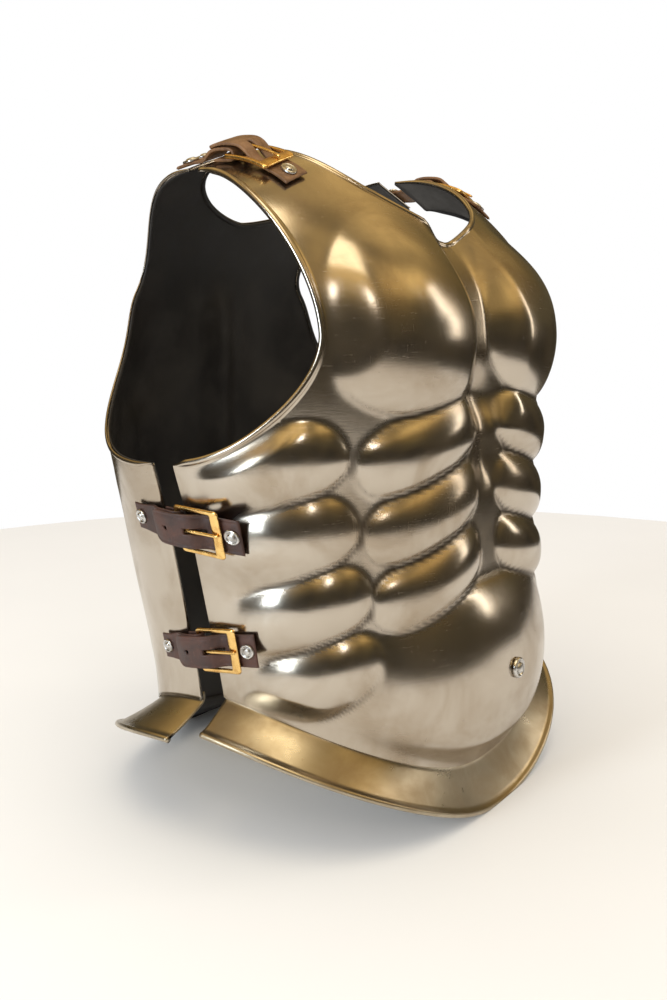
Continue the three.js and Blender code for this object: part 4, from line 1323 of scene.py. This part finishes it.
class CUIRASS_OT_stage(CuirassOperator, bpy.types.Operator):
    """Add the studio floor, lights and camera"""
    bl_idname = "cuirass.stage"
    bl_label = "Studio"

    def execute(self, context):
        bpy.context.scene.view_settings.view_transform = "Standard"
        self.floor()
        self.world()
        self.lights()
        self.camera()
        return {"FINISHED"}

    def floor(self):
        mesh = bpy.data.meshes.new("studio_floor")
        ring = [(FLOOR.radius * math.cos(a), FLOOR.radius * math.sin(a), FLOOR.level)
                for a in np.linspace(0, 2 * math.pi, FLOOR.corners + 1)[:-1]]
        mesh.from_pydata(ring, [], [list(range(len(ring)))])
        floor = bpy.data.objects.new("studio_floor", mesh)
        bpy.context.scene.collection.objects.link(floor)
        f = Finish("floor_paper")
        patch = f.noise(2.0, 3.0)
        shade = [*(0.97 * value for value in self.colours.floor[:3]), 1]
        colour = f.blend(f.range(patch, 0.3, 0.7), self.colours.floor, shade)
        mesh.materials.append(f.done(colour, f.range(patch, 0.3, 0.7, 0.75, 0.85)))

    def world(self):
        """A warm room that only reflections see. All else sees plain white."""
        world = bpy.data.worlds.new("studio_room")
        bpy.context.scene.world = world
        world.use_nodes = True
        tree = world.node_tree
        tree.nodes.clear()
        output = tree.nodes.new("ShaderNodeOutputWorld")
        room = tree.nodes.new("ShaderNodeBackground")
        place = tree.nodes.new("ShaderNodeTexCoord")
        split = tree.nodes.new("ShaderNodeSeparateXYZ")
        ramp = tree.nodes.new("ShaderNodeValToRGB")
        tree.links.new(place.outputs["Generated"], split.inputs[0])
        tree.links.new(split.outputs["Z"], ramp.inputs[0])
        elements = ramp.color_ramp.elements
        while len(elements) < len(ROOM_GLOW):
            elements.new(0.5)
        for element, (position, rgb) in zip(elements, ROOM_GLOW):
            element.position = position
            element.color = (*rgb, 1)
        blotch = tree.nodes.new("ShaderNodeTexNoise")
        blotch.inputs["Scale"].default_value = ROOM_BLOTCHES.scale
        blotch.inputs["Detail"].default_value = ROOM_BLOTCHES.detail
        tree.links.new(place.outputs["Generated"], blotch.inputs["Vector"])
        uneven = tree.nodes.new("ShaderNodeMapRange")
        for socket, number in zip(RANGE_SOCKETS, ROOM_BLOTCHES.strength):
            uneven.inputs[socket].default_value = number
        tree.links.new(blotch.outputs["Fac"], uneven.inputs["Value"])
        tree.links.new(ramp.outputs[0], room.inputs["Color"])
        tree.links.new(uneven.outputs[0], room.inputs["Strength"])
        white = tree.nodes.new("ShaderNodeBackground")
        white.inputs["Color"].default_value = (1, 1, 1, 1)
        path = tree.nodes.new("ShaderNodeLightPath")
        blend = tree.nodes.new("ShaderNodeMixShader")
        tree.links.new(path.outputs["Is Glossy Ray"], blend.inputs[0])
        tree.links.new(white.outputs[0], blend.inputs[1])
        tree.links.new(room.outputs[0], blend.inputs[2])
        tree.links.new(blend.outputs[0], output.inputs["Surface"])

    def lights(self):
        for name, position, (width, height), power, rgb in LAMPS:
            light = bpy.data.lights.new(name, "AREA")
            light.shape = "RECTANGLE"
            light.size, light.size_y = width, height
            light.energy = power
            light.color = rgb
            holder = bpy.data.objects.new(name, light)
            bpy.context.scene.collection.objects.link(holder)
            holder.location = position
            holder.rotation_euler = (LAMPS_FACE - Vector(position)).to_track_quat("-Z", "Y").to_euler()

    def camera(self):
        azimuth, pitch, roll = (math.radians(v) for v in (CAMERA.azimuth, CAMERA.pitch, CAMERA.roll))
        forward = Vector((-math.sin(azimuth) * math.cos(pitch), math.cos(azimuth) * math.cos(pitch),
                          -math.sin(pitch)))
        right = Vector((math.cos(azimuth), math.sin(azimuth), 0))
        up = right.cross(forward)
        turned = right * math.cos(roll) + up * math.sin(roll)
        upright = up * math.cos(roll) - right * math.sin(roll)
        camera = bpy.data.cameras.new("studio_camera")
        camera.sensor_width = CAMERA.sensor
        camera.lens = CAMERA.lens
        camera.clip_start = CAMERA.near
        holder = bpy.data.objects.new("studio_camera", camera)
        bpy.context.scene.collection.objects.link(holder)
        axes = Matrix((turned, upright, -forward)).transposed().to_4x4()
        holder.matrix_world = Matrix.Translation(CAMERA.place) @ axes
        bpy.context.scene.camera = holder


class CUIRASS_PT_panel(bpy.types.Panel):
    """Lists the cuirass's makers and settings"""
    bl_idname = "CUIRASS_PT_panel"
    bl_label = "Cuirass"
    bl_space_type = "VIEW_3D"
    bl_region_type = "UI"
    bl_category = "Cuirass"

    def draw(self, context):
        for operator in OPERATORS:
            self.layout.operator(operator.bl_idname)
        for settings in (context.scene.cuirass_sizes, context.scene.cuirass_colours):
            box = self.layout.box()
            for name in settings.bl_rna.properties.keys():
                if name not in {"rna_type", "name"}:
                    box.prop(settings, name)


OPERATORS = [
    CUIRASS_OT_breastplate,
    CUIRASS_OT_backplate,
    CUIRASS_OT_flanges,
    CUIRASS_OT_navel_stud,
    CUIRASS_OT_leather_straps,
    CUIRASS_OT_buckles,
    CUIRASS_OT_rivets,
    CUIRASS_OT_stage,
]
CLASSES = [CuirassSizes, CuirassColours, *OPERATORS, CUIRASS_PT_panel]


def register():
    for each in CLASSES:
        bpy.utils.register_class(each)
    bpy.types.Scene.cuirass_sizes = bpy.props.PointerProperty(type=CuirassSizes)
    bpy.types.Scene.cuirass_colours = bpy.props.PointerProperty(type=CuirassColours)


def unregister():
    del bpy.types.Scene.cuirass_colours
    del bpy.types.Scene.cuirass_sizes
    for each in reversed(CLASSES):
        bpy.utils.unregister_class(each)


def main():
    register()
    for operator in OPERATORS:
        group, name = operator.bl_idname.split(".")
        getattr(getattr(bpy.ops, group), name)()


if __name__ == "__main__":
    main()
